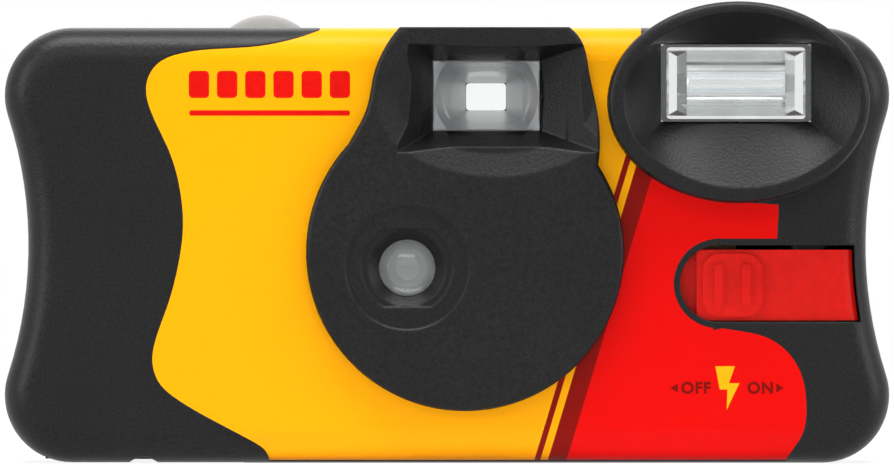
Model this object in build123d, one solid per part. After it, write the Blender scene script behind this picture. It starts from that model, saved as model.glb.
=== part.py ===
from build123d import *
import math
import os

# A single-use 35 mm film camera with a built-in flash, in millimetres.
# Front faces -Y, up is +Z, and +X is to the right of someone who looks at the front.
# The origin is the middle of the flat base.

# Body envelope
body_width = 118.0
body_height = 58.0
body_depth = 31.0
corner_radius = 9.0
waist_draw = 3.15
edge_radius = 4.5
wall = 1.5
parting_offset = 2.0
label_thickness = 0.2
cut_overrun = 1.0
small_gap = 0.1
fit_gap = 0.2
run_gap = 0.3

# Lens panel and lens well in the front cover
panel_raise = 2.0
panel_radius = 21.15
panel_shift = 7.7
panel_lift = 2.1
panel_root_depth = 4.5
panel_edge_round = 0.7
tab_left_shares = [
    (-0.7830, 0.7), (-0.6904, 0.76), (-0.6145, 0.819),
    (-0.5771, 0.888), (-0.5202, 0.943), (-0.4114, 1),
]
tab_right_shares = [
    (0.6570, 1), (0.7468, 0.957), (0.7753, 0.907),
    (0.8350, 0.797), (0.8350, 0.68),
]
ring_radius = 8.24
ring_sink = 0.45
slot_depth = 4.3
well_radius = 6.07
well_flat = 5.19
well_step = 0.5
well_mouth_radius = 5.6
lens_hole_radius = 3.75
well_depth = 2.3

# Viewfinder recess
finder_shift = 10.55
finder_drop = 9.05
finder_window_width = 14.2
finder_window_height = 9.3
finder_window_round = 1.0
finder_mouth_width = 25.8
finder_mouth_top_drop = 2.2
finder_mouth_height = 14.5
finder_mouth_shift = 1.65
finder_mouth_flare = 1.5
finder_recess_depth = 6.0
finder_boss_wall = 1.2
finder_dish_half_width = 15.5
finder_dish_half_height = 9.4
finder_dish_shift = 1.25
finder_dish_drop = 0.95
finder_dish_depth = 1.5
finder_dish_draw = 2.6

# Flash hood and window
hood_side_gap = 2.9
hood_drop = 9.95
hood_half_width = 17.35
hood_half_height = 13.35
hood_raise = 4.6
hood_root_depth = 12.0
hood_front_round = 0.9
hood_rear_round = 5.0
dish_shift = 0.4
dish_lift = 0.25
dish_half_width = 15.75
dish_half_height = 11.8
flash_shift = 0.25
flash_lift = 2.55
flash_width = 20.0
flash_height = 10.6
flash_sink = 5.2
flash_corner_share = 0.53
flash_pocket_margin = 1.3
flash_pocket_drop = 1.1
flash_pocket_depth = 9.5

# Flash switch and its slot
slot_length = 28.0
slot_bottom = 18.8
slot_top = 29.0
slot_side_margin = 1.7
slot_rim = 0.85
switch_travel = 1.9
switch_face_sink = 0.7
switch_top_gap = 0.6
switch_pad_width = 8.0
switch_pad_round = 2.4
switch_pad_margin = 0.5
switch_pad_raise = 0.6
switch_ridge_width = 1.2
switch_ridge_length = 5.6
switch_ridge_raise = 0.5
switch_ridge_pitch = 3.65
switch_flange_margin = 1.5
switch_flange_lead = 2.6
switch_flange_lap = 1.2
switch_flange_thickness = 1.0
switch_flange_length = 21.2
switch_pad_lead = 7.0
leaf_thickness = 0.3
leaf_height = 3.0
leaf_length = 7.0
leaf_foot = 2.0
leaf_lead = 2.8
leaf_z = 22.0
leaf_stand = 0.9
trigger_length = 9.5
trigger_drop = 10.5
trigger_height = 2.2

# Shutter button
button_lead = 16.15
button_y = -4.5
button_radius = 4.9
button_rise = 1.8
button_flange = 0.7
button_flange_thickness = 0.8
button_stem_radius = 1.2

# Film, cartridge and supply roll
gate_width = 36.0
gate_shift = 1.325
gate_height = 24.0
film_edge_gap = 4.7
film_thickness = 0.15
film_back_gap = 2.0
perforation_pitch = 4.75
perforation_length = 1.98
perforation_width = 2.8
perforation_margin = 2.0
cartridge_front_gap = 2.5
cartridge_foot = 3.8
cartridge_top_gap = 9.8
cartridge_side_gap = 1.4
cartridge_back_gap = 0.5
cartridge_shell = 0.4
cap_height = 3.0
cap_rim = 0.25
cap_thickness = 0.5
lip_thickness = 0.7
spool_end_gap = 0.4
lip_height = 1.8
spool_core_radius = 5.5
spool_hub_radius = 4.2
spool_hub_rise = 1.5
spool_flange_gap = 1.1
spool_flange_thickness = 0.9
drive_slot_width = 1.8
roll_side_gap = 2.4
chamber_cut_back = 6.4
chamber_roof_setback = 10.0
chamber_front_drop = 13.8
standoff_width = 3.0
standoff_height = 2.0
standoff_rise = 8.0
standoff_pitch = 24.0
roll_front_gap = 6.3
supply_core_radius = 4.0
supply_flange_rim = 0.2
supply_flange_thickness = 0.8
supply_pin_radius = 1.8
supply_pin_end = 0.1

# Advance wheel
wheel_reach = 0.6
wheel_thickness = 3.2
wheel_lift = 1.8
wheel_tooth_count = 60
wheel_notch_depth = 0.5
wheel_notch_radius = 0.36
wheel_scoop_depth = 0.9
wheel_scoop_width = 24.0
wheel_scoop_height = 9.0
wheel_slot_gap = 0.5
wheel_hub_draw = 0.7
wheel_scoop_taper = 1.4
ratchet_count = 20
ratchet_radius = 9.2
ratchet_height = 0.7
ratchet_lean_share = 0.7
ratchet_tooth_depth = 0.7
fork_length = 6.0
fork_radius = 2.7
hub_bore_radius = 2.9
hub_bore_depth = 8.0
drive_bar_height = 4.0
drive_bar_width = 1.4
pawl_radius = 1.0
pawl_length = 5.5
pawl_width = 0.9
pawl_gap = 0.35
pawl_back = 3.6

# Main frame
frame_wall = 1.1
frame_front_y = -9.0
frame_bottom = 1.75
shelf_thickness = 0.65
shelf_rim = 0.1
shelf_gap = 0.15
chamber_gap = 0.6
gate_plate_thickness = 1.2
deck_drop = 16.8
deck_thickness = 1.1
deck_setback = 6.9
board_thickness = 1.2
board_half_width = 12.5
board_drop = 13.0
board_rise = 8.0
tunnel_front_half_width = 5.0
tunnel_front_half_height = 4.0
baffle_thickness = 0.8
baffle_share = 0.6
baffle_rim = 1.6

# Lens group
lens_flange_radius = 4.7
lens_flange_thickness = 1.2
lens_dome_rise = 1.2
stop_thickness = 0.3
stack_gap = 0.05
blade_space = 0.6
blade_pin_reach = 2.2
lens_neck = 0.2
stop_radius = 1.35
rear_lens_thickness = 0.9
rear_lens_bulge = 0.35
holder_wall = 1.4
holder_floor = 1.0
holder_plate_half_width = 11.0
holder_plate_drop = 9.0
holder_plate_rise = 7.5
holder_leg = 1.6
holder_hole_radius = 2.6
board_hole_radius = 3.4

# Shutter blade, levers and springs
blade_thickness = 0.25
blade_pivot_left = 7.5
blade_pivot_up = 4.0
blade_disc_radius = 2.9
blade_arm_width = 2.2
blade_tab_width = 1.2
blade_tab_height = 5.5
blade_hub_radius = 1.9
pivot_pin_radius = 0.8
pivot_play = 0.05
drive_reach = 8.0
drive_finger = 1.2
drive_thickness = 1.0
drive_hub_radius = 1.9
drive_arm_width = 1.6
drive_tail_length = 7.0
drive_tail_angle = 134.0
drive_lift = 2.4
lever_lead = 24.45
lever_drop = 8.0
lever_y = -4.5
lever_thickness = 1.2
lever_width = 2.0
lever_post_gap = 0.7
lever_post_thickness = 1.0
lever_post_width = 2.0
lever_reach_left = 9.4
lever_reach_right = 5.0
lever_hook_width = 1.0
lever_hook_gap = 0.3
drive_pivot_lead = 6.0
drive_pivot_y = -2.4
finger_reach = 6.8
guide_drop = 6.7
guide_thickness = 0.6
guide_left = 1.6
guide_right = 4.2
guide_front = 3.9
guide_back = 2.4
guide_post = 2.0
button_spring_radius = 1.75
button_spring_pitch = 0.5
spring_wire = 0.4
spring_turns = 3
spring_pitch = 0.55

# Sprocket and exposure counter
sprocket_lead = 21.25
sprocket_tooth_count = 8
sprocket_body_radius = 5.4
sprocket_tip_radius = 6.6
sprocket_thickness = 1.4
sprocket_drop = 0.3
sprocket_shaft_radius = 1.0
sprocket_collar_radius = 1.9
sprocket_collar_thickness = 0.8
cam_radius = 2.1
cam_offset = 0.5
cam_lift = 2.2
cam_thickness = 1.4
sprocket_slot_gap = 0.35
sprocket_seat = 1.4
counter_lead = 30.95
counter_y = 3.5
counter_radius = 6.6
counter_thickness = 0.9
counter_depth = 3.4
counter_tooth_count = 40
counter_tooth_depth = 0.5
counter_post_radius = 1.1
counter_pin_radius = 0.7
counter_finger_width = 0.8
finger_gap = 0.2
counter_number_share = 0.7
window_radius = 2.4
window_flange = 0.7
window_flange_thickness = 0.6
window_sink = 0.1

# Viewfinder pieces
finder_lens_thickness = 1.6
finder_lens_bulge = 0.9
finder_lens_scallop = 6.9
finder_lens_hollow = 17.0
finder_lens_middle = 0.6
finder_border = 0.9
finder_tunnel_wall = 0.8
finder_foot_width = 2.0
finder_foot_pitch = 8.0
finder_foot_front = 1.0
eyepiece_width = 9.4
eyepiece_height = 6.4
eyepiece_round = 0.8
eyepiece_lens_thickness = 1.4
eyepiece_recess = 1.2
eyepiece_frame = 1.6
pressure_rib_height = 1.6
pressure_rib_inset = 2.0

# Flash electronics
flash_lens_thickness = 1.5
flash_lens_border = 0.9
flash_rib_count = 8
flash_rib_height = 0.12
reflector_depth = 5.6
reflector_back_half = 8.0
reflector_back_rise = 2.0
reflector_gap = 0.1
flash_lens_gap = 0.15
reflector_wall = 0.5
tube_radius = 1.4
tube_overhang = 1.4
tube_setback = 2.2
electrode_radius = 0.4
electrode_length = 1.6
board_lead = 9.7
board_reach = 11.4
circuit_bottom = 4.0
circuit_drop = 14.5
circuit_thickness = 1.0
circuit_setback = 0.3
capacitor_front_gap = 2.3
capacitor_back_gap = 0.7
capacitor_shift = 1.95
capacitor_top_gap = 28.4
capacitor_bottom = 3.6
capacitor_sleeve = 0.3
cradle_width = 4.0
cradle_bottom = 5.0
cradle_height = 6.0
transformer_size = 8.0
transformer_height = 10.0
transformer_plate = 1.6
transformer_drop = 12.5
transformer_front_gap = 1.4
coil_radius = 3.2
chip_width = 3.2
chip_height = 1.9
chip_thickness = 0.9
chip_pitch = 6.0
chip_count = 4
chip_lead = 6.5
chip_first_z = 10.0
resistor_radius = 0.9
resistor_length = 5.0
resistor_lead = 15.5
lamp_lead = 3.1
lamp_drop = 8.4
lamp_radius = 1.9
lamp_length = 5.0
lamp_tab_width = 6.5
lamp_tab_drop = 5.8
pipe_proud = 0.3
pipe_radius = 1.5
pipe_head_radius = 2.0
pipe_head_length = 0.8

# Battery
battery_front_gap = 11.8
battery_end_gap = 3.75
battery_side_gap = 0.45
battery_back_gap = 1.7
battery_button_radius = 2.75
battery_button_rise = 1.0
contact_thickness = 0.4
contact_half_width = 3.0
contact_spring_pitch = 0.55
contact_spring_turns = 2

# Printed label
label_left_shares = [
    (-0.1437, 0.9943), (-0.1848, 0.9672), (-0.2117, 0.9570), (-0.3027, 0.9386), (-0.3264, 0.9163),
    (-0.3388, 0.8705), (-0.3332, 0.8040), (-0.3129, 0.7145), (-0.2999, 0.6135), (-0.2976, 0.5402),
    (-0.3027, 0.4576), (-0.3151, 0.3612), (-0.3286, 0.2833), (-0.3322, 0.2374), (-0.3252, 0.1869),
    (-0.3016, 0.1433), (-0.2185, 0.0493), (-0.2049, 0.0287), (-0.2001, 0.0),
]
label_right_shares = [(0.3805, 0.0), (0.3881, 0.0260), (0.4000, 0.0640), (0.4051, 0.1360), (0.3983, 0.2100),
                      (0.3661, 0.2830), (0.3297, 0.3035), (0.3100, 0.3095)]
label_upper_shares = [
    (0.3000, 0.3050), (0.3000, 0.5155), (0.3720, 0.5155), (0.3740, 0.5930), (0.3400, 0.5975),
    (0.2700, 0.6500), (0.2190, 0.9600),
]
label_back_shares = [(-0.1437, 1.03), (-0.1480, 0.95), (-0.2900, 0.78), (-0.2900, 0.16), (-0.2001, 0.06),
                     (-0.2001, -0.03), (0.3805, -0.03), (0.3805, 0.06), (0.4000, 0.14), (0.4000, 0.86),
                     (0.2190, 0.95), (0.2190, 1.03)]
label_back_round = 1.2
label_base = 0.4

# Film door in the base
door_margin = 0.6
door_front_y = -11.5
door_hinge_y = 10.6
door_thickness = 1.1
door_sink = 0.55
door_gap = 0.25
door_barrel_radius = 0.85
door_nub_radius = 1.6
door_nub_reach = 13.2
door_pin_radius = 0.4
door_pin_length = 1.2

# Places worked out from the sizes
half_width = body_width / 2
front_y = -body_depth / 2
back_y = body_depth / 2
inner_front_y = front_y + wall
inner_back_y = back_y - wall
inner_top_z = body_height - wall
corner_x = half_width - corner_radius
corner_rise = body_height / 2 - corner_radius
waist_half = half_width - waist_draw
panel_y = front_y - panel_raise
hood_y = front_y - hood_raise
film_y = inner_back_y - film_back_gap

cartridge_radius = (inner_back_y - cartridge_back_gap - inner_front_y - cartridge_front_gap) / 2
cartridge_height = body_height - cartridge_foot - cartridge_top_gap
cartridge_x = -(waist_half - wall - cartridge_side_gap - cartridge_radius)
cartridge_y = inner_back_y - cartridge_back_gap - cartridge_radius
cartridge_bottom = cartridge_foot
cartridge_top = cartridge_bottom + cartridge_height
spool_flange_radius = cartridge_radius - spool_flange_gap
shelf_radius = cartridge_radius + shelf_rim
film_bottom = cartridge_bottom + film_edge_gap
film_top = cartridge_top - film_edge_gap
wheel_radius = back_y - wheel_reach
wheel_bottom = cartridge_top + wheel_lift
wheel_top = wheel_bottom + wheel_thickness

battery_radius = (inner_back_y - battery_back_gap - inner_front_y - battery_front_gap) / 2
battery_height = body_height - 2 * battery_end_gap
battery_x = waist_half - wall - battery_side_gap - battery_radius
battery_y = inner_back_y - battery_back_gap - battery_radius
battery_bottom = battery_end_gap
roll_radius = (film_y - small_gap - inner_front_y - roll_front_gap) / 2
supply_flange_radius = roll_radius + supply_flange_rim
roll_x = battery_x - battery_radius - roll_side_gap - roll_radius
roll_y = film_y - small_gap - roll_radius
battery_front_y = battery_y - battery_radius
capacitor_radius = (battery_front_y - inner_front_y - capacitor_front_gap - capacitor_back_gap) / 2
capacitor_height = body_height - capacitor_bottom - capacitor_top_gap
capacitor_x = battery_x + capacitor_shift
capacitor_y = inner_front_y + capacitor_front_gap + capacitor_radius

lens_axis_x = (cartridge_x + roll_x) / 2 + gate_shift
lens_axis_z = (cartridge_bottom + cartridge_top) / 2
panel_centre_x = lens_axis_x + panel_shift
panel_centre_z = lens_axis_z + panel_lift
finder_x = lens_axis_x + finder_shift
finder_z = body_height - finder_drop
finder_mouth_top = body_height - finder_mouth_top_drop
finder_mouth_bottom = finder_mouth_top - finder_mouth_height
finder_mouth_x = finder_x + finder_mouth_shift
finder_dish_x = finder_x + finder_dish_shift
finder_dish_z = finder_z - finder_dish_drop
hood_x = half_width - hood_side_gap - hood_half_width
hood_z = body_height - hood_drop
dish_x = hood_x + dish_shift
dish_z = hood_z + dish_lift
flash_x = hood_x - flash_shift
flash_z = hood_z + flash_lift
flash_pocket_top = body_height - flash_pocket_drop
slot_left = half_width - slot_length
switch_pad_x = slot_left + switch_pad_lead
button_x = cartridge_x + button_lead

gate_back_y = film_y - small_gap
gate_front_y = gate_back_y - gate_plate_thickness
deck_front_y = front_y + deck_setback
deck_z = body_height - deck_drop
deck_top = deck_z + deck_thickness
chamber_roof_front = front_y + chamber_roof_setback
chamber_front_top = body_height - chamber_front_drop
lens_front_y = inner_front_y + small_gap
stop_y = lens_front_y + lens_flange_thickness + stack_gap
rear_lens_y = stop_y + stop_thickness + stack_gap
holder_back_y = rear_lens_y + rear_lens_thickness + stack_gap + holder_floor
board_front_y = holder_back_y + blade_space
tunnel_front_y = board_front_y + board_thickness
blade_y = board_front_y - (blade_space + blade_thickness) / 2
blade_pivot_x = lens_axis_x - blade_pivot_left
blade_pivot_z = lens_axis_z + blade_pivot_up
blade_pin_front = holder_back_y - holder_floor - blade_pin_reach
drive_z = deck_top + drive_lift
drive_pivot_x = lens_axis_x - drive_pivot_lead
finger_bottom = deck_z - finger_reach
lever_x = cartridge_x + lever_lead
lever_z = body_height - lever_drop
guide_z = body_height - guide_drop
lever_post_top = guide_z + small_gap
sprocket_x = cartridge_x + sprocket_lead
sprocket_y = film_y - small_gap - sprocket_tip_radius
sprocket_top = deck_z - sprocket_drop
sprocket_bottom = sprocket_top - sprocket_thickness
counter_x = cartridge_x + counter_lead
counter_z = body_height - counter_depth
wheel_hub_radius = spool_core_radius - wheel_hub_draw

board_left = roll_x - board_lead
board_right = roll_x + board_reach
circuit_top = body_height - circuit_drop
circuit_back_y = board_front_y - circuit_setback
circuit_front_y = circuit_back_y - circuit_thickness
chip_x = board_left + chip_lead
resistor_x = board_left + resistor_lead
lamp_x = board_left + lamp_lead
lamp_z = body_height - lamp_drop
lamp_tab_right = board_left + lamp_tab_width
lamp_tab_top = body_height - lamp_tab_drop
transformer_bottom = circuit_top - transformer_drop
transformer_y = inner_front_y + transformer_front_gap + transformer_size / 2
trigger_z = circuit_top - trigger_drop
leaf_x = roll_x + leaf_lead
door_axis_z = door_sink + door_barrel_radius


def block(x0, x1, y0, y1, z0, z1):
    """A box between two corners."""
    return Pos((x0 + x1) / 2, (y0 + y1) / 2, (z0 + z1) / 2) * Box(x1 - x0, y1 - y0, z1 - z0)


def rod_z(x, y, radius, z0, z1):
    """An upright cylinder."""
    return Pos(x, y, (z0 + z1) / 2) * Cylinder(radius, z1 - z0)


def rod_y(x, z, radius, y0, y1):
    """A cylinder that runs front to back."""
    return Pos(x, (y0 + y1) / 2, z) * Rot(90, 0, 0) * Cylinder(radius, y1 - y0)


def rod_x(y, z, radius, x0, x1):
    """A cylinder that runs left to right."""
    return Pos((x0 + x1) / 2, y, z) * Rot(0, 90, 0) * Cylinder(radius, x1 - x0)


def slab_y(shape, y0, y1):
    """A flat outline drawn in X and Z, made solid from y0 to y1."""
    return extrude(Plane.XZ.offset(-y1) * shape, amount=y1 - y0)


def slab_z(shape, z0, z1):
    """A flat outline drawn in X and Y, made solid from z0 to z1."""
    return extrude(Pos(0, 0, z0) * shape, amount=z1 - z0)


def scaled(shares):
    """Points given as shares of the body's width and height."""
    return [(sx * body_width, sz * body_height) for sx, sz in shares]


def body_outline(inset):
    """The waisted front outline: four round corners joined by two hollow sides."""
    radius = corner_radius - inset
    waist = waist_half - inset
    reach = waist - corner_x
    hollow = (reach**2 + corner_rise**2 - radius**2) / (2 * (radius - reach))
    middle = body_height / 2
    span = math.hypot(reach + hollow, corner_rise)
    tangent_x = corner_x + radius * (reach + hollow) / span
    tangent_up = corner_rise - radius * corner_rise / span
    middle_angle = math.radians((90 + math.degrees(math.atan2(-corner_rise, reach + hollow))) / 2)
    bulge_x = corner_x + radius * math.cos(middle_angle)
    bulge_up = corner_rise + radius * math.sin(middle_angle)
    top = body_height - inset
    edges = []
    for side in (1, -1):
        edges.append(
            ThreePointArc(
                (side * corner_x, top),
                (side * bulge_x, middle + bulge_up),
                (side * tangent_x, middle + tangent_up),
            )
        )
        edges.append(
            ThreePointArc(
                (side * tangent_x, middle + tangent_up),
                (side * waist, middle),
                (side * tangent_x, middle - tangent_up),
            )
        )
        edges.append(
            ThreePointArc(
                (side * tangent_x, middle - tangent_up),
                (side * bulge_x, middle - bulge_up),
                (side * corner_x, inset),
            )
        )
    edges.append(Line((-corner_x, top), (corner_x, top)))
    edges.append(Line((-corner_x, inset), (corner_x, inset)))
    return make_face(edges)


def body_envelope(inset):
    """The rounded body, drawn in by inset on every side."""
    shape = slab_y(body_outline(inset), front_y + inset, back_y - inset)
    ends = shape.faces().sort_by(Axis.Y)
    rims = ends[0].edges() + ends[-1].edges()
    return fillet(rims, edge_radius - inset)


def split_ellipse(cx, cz, half_w, half_h, corner_share):
    """An ellipse split at four points, where the corners of a rectangle will meet it."""
    across = half_w * math.sqrt(1 - corner_share**2)
    up = half_h * corner_share
    right = ((cx + across, cz - up), (cx + half_w, cz), (cx + across, cz + up))
    top = ((cx + across, cz + up), (cx, cz + half_h), (cx - across, cz + up))
    left = ((cx - across, cz + up), (cx - half_w, cz), (cx - across, cz - up))
    bottom = ((cx - across, cz - up), (cx, cz - half_h), (cx + across, cz - up))
    return make_face(
        [ThreePointArc(*right), ThreePointArc(*top), ThreePointArc(*left), ThreePointArc(*bottom)]
    )


def rounded(width, height, radius, cx=0, cz=0):
    """A rectangle with round corners, centred at a point."""
    return Pos(cx, cz) * RectangleRounded(width, height, radius)


def frustum(shape0, y0, shape1, y1):
    """A tapered solid between two flat outlines."""
    return loft([Plane.XZ.offset(-y0) * shape0, Plane.XZ.offset(-y1) * shape1], ruled=True)


def panel_shape():
    """The round lens panel with the viewfinder tab that runs up to the top edge."""
    left = [(panel_centre_x + sx * panel_radius, sz * body_height) for sx, sz in tab_left_shares]
    right = [(panel_centre_x + sx * panel_radius, sz * body_height) for sx, sz in tab_right_shares]
    over = body_height + cut_overrun
    tab = make_face(
        [
            Spline(left),
            Line(left[-1], (left[-1][0], over)),
            Line((left[-1][0], over), (right[0][0], over)),
            Line((right[0][0], over), right[0]),
            Spline(right),
            Line(right[-1], left[0]),
        ]
    )
    return tab + Pos(panel_centre_x, panel_centre_z) * Circle(panel_radius)


def hood_shape(grow):
    """The oval outline of the flash hood."""
    return Pos(hood_x, hood_z) * Ellipse(hood_half_width + grow, hood_half_height + grow)


def slot_shape(grow):
    """The switch slot: a half-round left end, and a right end that follows the body's side."""
    radius = (slot_top - slot_bottom) / 2 + grow
    middle = (slot_top + slot_bottom) / 2
    centre_x = slot_left - grow + radius
    run = half_width - centre_x
    long_part = Pos(centre_x + run / 2, middle) * Rectangle(run, 2 * radius)
    whole = long_part + Pos(centre_x, middle) * Circle(radius)
    return whole & body_outline(slot_side_margin - grow)


def front_zone():
    """The printed label's outline on the front, before the panel, hood and slot are taken out."""
    left = scaled(label_left_shares)
    right = scaled(label_right_shares)
    upper = scaled(label_upper_shares)
    over = body_height + cut_overrun
    points = [right[-1]] + upper
    return make_face(
        [
            Spline(left),
            Line(left[-1], (left[-1][0], -cut_overrun)),
            Line((left[-1][0], -cut_overrun), (right[0][0], -cut_overrun)),
            Line((right[0][0], -cut_overrun), right[0]),
            Spline(right),
            Polyline(points + [(upper[-1][0], over)]),
            Line((upper[-1][0], over), (left[0][0], over)),
            Line((left[0][0], over), left[0]),
        ]
    )


def back_zone():
    """The label's outline on the back."""
    points = scaled(label_back_shares)
    return fillet(make_face(Polyline(points, close=True)).vertices(), label_back_round)


def window_y():
    """How far forward the counter window sits, over the ring of numbers."""
    return counter_y - counter_radius * counter_number_share


def trapezoid(cx, bottom, top, half_bottom, half_top):
    """A symmetrical four-sided outline with level top and bottom."""
    corners = [
        (cx - half_bottom, bottom), (cx + half_bottom, bottom), (cx + half_top, top), (cx - half_top, top)
    ]
    return make_face(Polyline(corners, close=True))


def front_half():
    """The space in front of the parting line."""
    return block(
        -body_width,
        body_width,
        -body_depth,
        parting_offset,
        -body_height,
        body_height + body_height,
    )


def back_half():
    """The space behind the parting line."""
    return block(
        -body_width, body_width, parting_offset, body_depth, -body_height, body_height + body_height
    )


def panel_solid():
    """The raised lens panel, with a soft front edge."""
    panel = slab_y(panel_shape(), panel_y, front_y + panel_root_depth)
    panel = fillet(panel.faces().sort_by(Axis.Y)[0].edges(), panel_edge_round)
    return panel & block(-body_width, body_width, -body_depth, 0, 0, body_height)


def hood_solid():
    """The raised flash hood, round at its front rim and rounder at the back."""
    hood = slab_y(hood_shape(0), hood_y, front_y + hood_root_depth)
    ends = hood.faces().sort_by(Axis.Y)
    hood = fillet(ends[0].edges(), hood_front_round)
    return fillet(hood.faces().sort_by(Axis.Y)[-1].edges(), hood_rear_round)


def lens_well():
    """The stepped well around the lens: a ring, a flat-sided mouth, a cone and the hole."""
    x = lens_axis_x
    z = lens_axis_z
    ring_floor = panel_y + ring_sink
    mouth_floor = ring_floor + well_step
    cone_floor = panel_y + well_depth
    flats = Pos(x, z) * Rectangle(2 * well_radius, 2 * well_flat)
    cut = rod_y(x, z, ring_radius, panel_y - cut_overrun, ring_floor)
    cut += slab_y((Pos(x, z) * Circle(well_radius)) & flats, ring_floor, mouth_floor)
    mouth = (Pos(x, z) * Circle(well_mouth_radius)) & flats
    cut += slab_y(mouth, ring_floor, mouth_floor)
    cone = Pos(x, (mouth_floor + cone_floor) / 2, z) * Rot(90, 0, 0) * Cone(
        lens_hole_radius, well_flat, cone_floor - mouth_floor
    )
    cut += cone
    return cut + rod_y(x, z, lens_hole_radius, cone_floor, inner_front_y + cut_overrun)


def finder_recess():
    """The shallow dish and the funnel that lead in to the viewfinder window."""
    dish = loft(
        [
            Plane.XZ.offset(-panel_y + cut_overrun)
            * Pos(finder_dish_x, finder_dish_z)
            * Ellipse(
                finder_dish_half_width + finder_dish_draw, finder_dish_half_height + finder_dish_draw
            ),
            Plane.XZ.offset(-panel_y - finder_dish_depth)
            * Pos(finder_dish_x, finder_dish_z)
            * Ellipse(
                finder_dish_half_width - finder_dish_draw, finder_dish_half_height - finder_dish_draw
            ),
        ]
    )
    back = panel_y + finder_recess_depth
    mouth = trapezoid(
        finder_mouth_x,
        finder_mouth_bottom,
        finder_mouth_top,
        finder_mouth_width / 2 + finder_mouth_flare / 2,
        finder_mouth_width / 2 - finder_mouth_flare / 2,
    )
    half = finder_window_width / 2
    rise = finder_window_height / 2
    window = trapezoid(finder_x, finder_z - rise, finder_z + rise, half, half)
    return dish, frustum(mouth, panel_y, window, back)


def finder_boss():
    """The walls that carry the funnel on behind the front wall."""
    half = finder_window_width / 2 + finder_boss_wall
    rise = finder_window_height / 2 + finder_boss_wall
    window = trapezoid(finder_x, finder_z - rise, finder_z + rise, half, half)
    front_share = (finder_recess_depth - wall - panel_raise) / finder_recess_depth
    wide = half + (finder_mouth_width - finder_window_width) / 2 * front_share
    high = rise + (finder_z - finder_mouth_bottom - finder_window_height / 2) * front_share
    mouth = trapezoid(finder_x, finder_z - high, finder_z + rise, wide, wide)
    return frustum(mouth, inner_front_y, window, panel_y + finder_recess_depth)


def flash_recess():
    """The dish around the flash window, and the window itself."""
    oval = split_ellipse(dish_x, dish_z, dish_half_width, dish_half_height, flash_corner_share)
    half = flash_width / 2
    rise = flash_height / 2
    window = trapezoid(flash_x, flash_z - rise, flash_z + rise, half, half)
    floor = hood_y + flash_sink
    through = slab_y(window, floor, inner_front_y + cut_overrun)
    pocket = block(
        flash_x - half - flash_pocket_margin,
        flash_x + half + flash_pocket_margin,
        inner_front_y,
        inner_front_y + flash_pocket_depth,
        flash_z - rise,
        flash_pocket_top,
    )
    return frustum(oval, hood_y, window, floor), through + pocket


def door_opening(grow):
    """The space of the film door in the base, with its thumb nub."""
    x0 = cartridge_x - cartridge_radius - door_margin - grow
    x1 = cartridge_x + cartridge_radius + door_margin + grow
    back = door_hinge_y + door_barrel_radius + grow
    plate = block(x0, x1, door_front_y - grow, back, -cut_overrun, wall + cut_overrun)
    nub_y = -door_nub_reach + door_nub_radius
    nub = rod_z(cartridge_x, nub_y, door_nub_radius + grow, -cut_overrun, wall + cut_overrun)
    return plate + nub


def wheel_space(extra):
    """Room for the advance wheel to turn in."""
    return rod_z(
        cartridge_x,
        cartridge_y,
        wheel_radius + extra,
        wheel_bottom - wheel_slot_gap,
        wheel_top + wheel_slot_gap,
    )


def label_solid(outer, skin, zone):
    """A thin printed layer let in to the body's surface inside a flat outline."""
    prism = slab_y(zone, -body_depth, body_depth)
    above_base = block(
        -body_width, body_width, -body_depth, body_depth, label_base, body_height + cut_overrun
    )
    return (outer - skin) & prism & above_base


def make_front_label(outer, skin):
    label = label_solid(outer, skin, front_zone()) & front_half()
    label -= slab_y(panel_shape(), -body_depth, front_y + panel_root_depth)
    label -= slab_y(hood_shape(small_gap), -body_depth, front_y + hood_root_depth + small_gap)
    label -= slab_y(slot_shape(slot_rim), -body_depth, 0)
    return label - rod_z(
        counter_x, window_y(), window_radius + fit_gap, body_height / 2, body_height + cut_overrun
    )


def make_back_label(outer, skin):
    label = label_solid(outer, skin, back_zone()) & back_half()
    half_w = eyepiece_width / 2 + eyepiece_frame
    half_h = eyepiece_height / 2 + eyepiece_frame
    label -= slab_y(rounded(2 * half_w, 2 * half_h, eyepiece_frame, finder_x, finder_z), 0, body_depth)
    return label - rod_y(lamp_x, lamp_z, pipe_head_radius + fit_gap, 0, body_depth)


def make_front_cover(outer, inner, label):
    dish, funnel = finder_recess()
    flash_dish, flash_hole = flash_recess()
    cover = (outer - label) & front_half()
    cover -= inner
    cover += panel_solid()
    cover += hood_solid()
    cover -= inner
    cover += finder_boss()
    cover += block(
        capacitor_x - cradle_width / 2,
        capacitor_x + cradle_width / 2,
        inner_front_y - small_gap,
        capacitor_y - capacitor_radius - small_gap,
        cradle_bottom,
        cradle_bottom + cradle_height,
    )
    cover -= lens_well()
    cover -= dish
    cover -= funnel
    cover -= flash_dish
    cover -= flash_hole
    cover -= slab_y(slot_shape(0), -body_depth, front_y + slot_depth)
    cover -= block(
        slot_left,
        slot_left + (slot_top - slot_bottom) / 2,
        front_y + switch_face_sink - fit_gap,
        front_y + slot_depth,
        slot_bottom,
        slot_top,
    )
    cover -= rod_z(
        button_x, button_y, button_radius + run_gap, inner_top_z - cut_overrun, body_height + cut_overrun
    )
    cover -= rod_z(
        counter_x,
        window_y(),
        window_radius + small_gap,
        inner_top_z - cut_overrun,
        body_height + cut_overrun,
    )
    cover -= door_opening(door_gap)
    return cover - wheel_space(run_gap)


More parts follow.
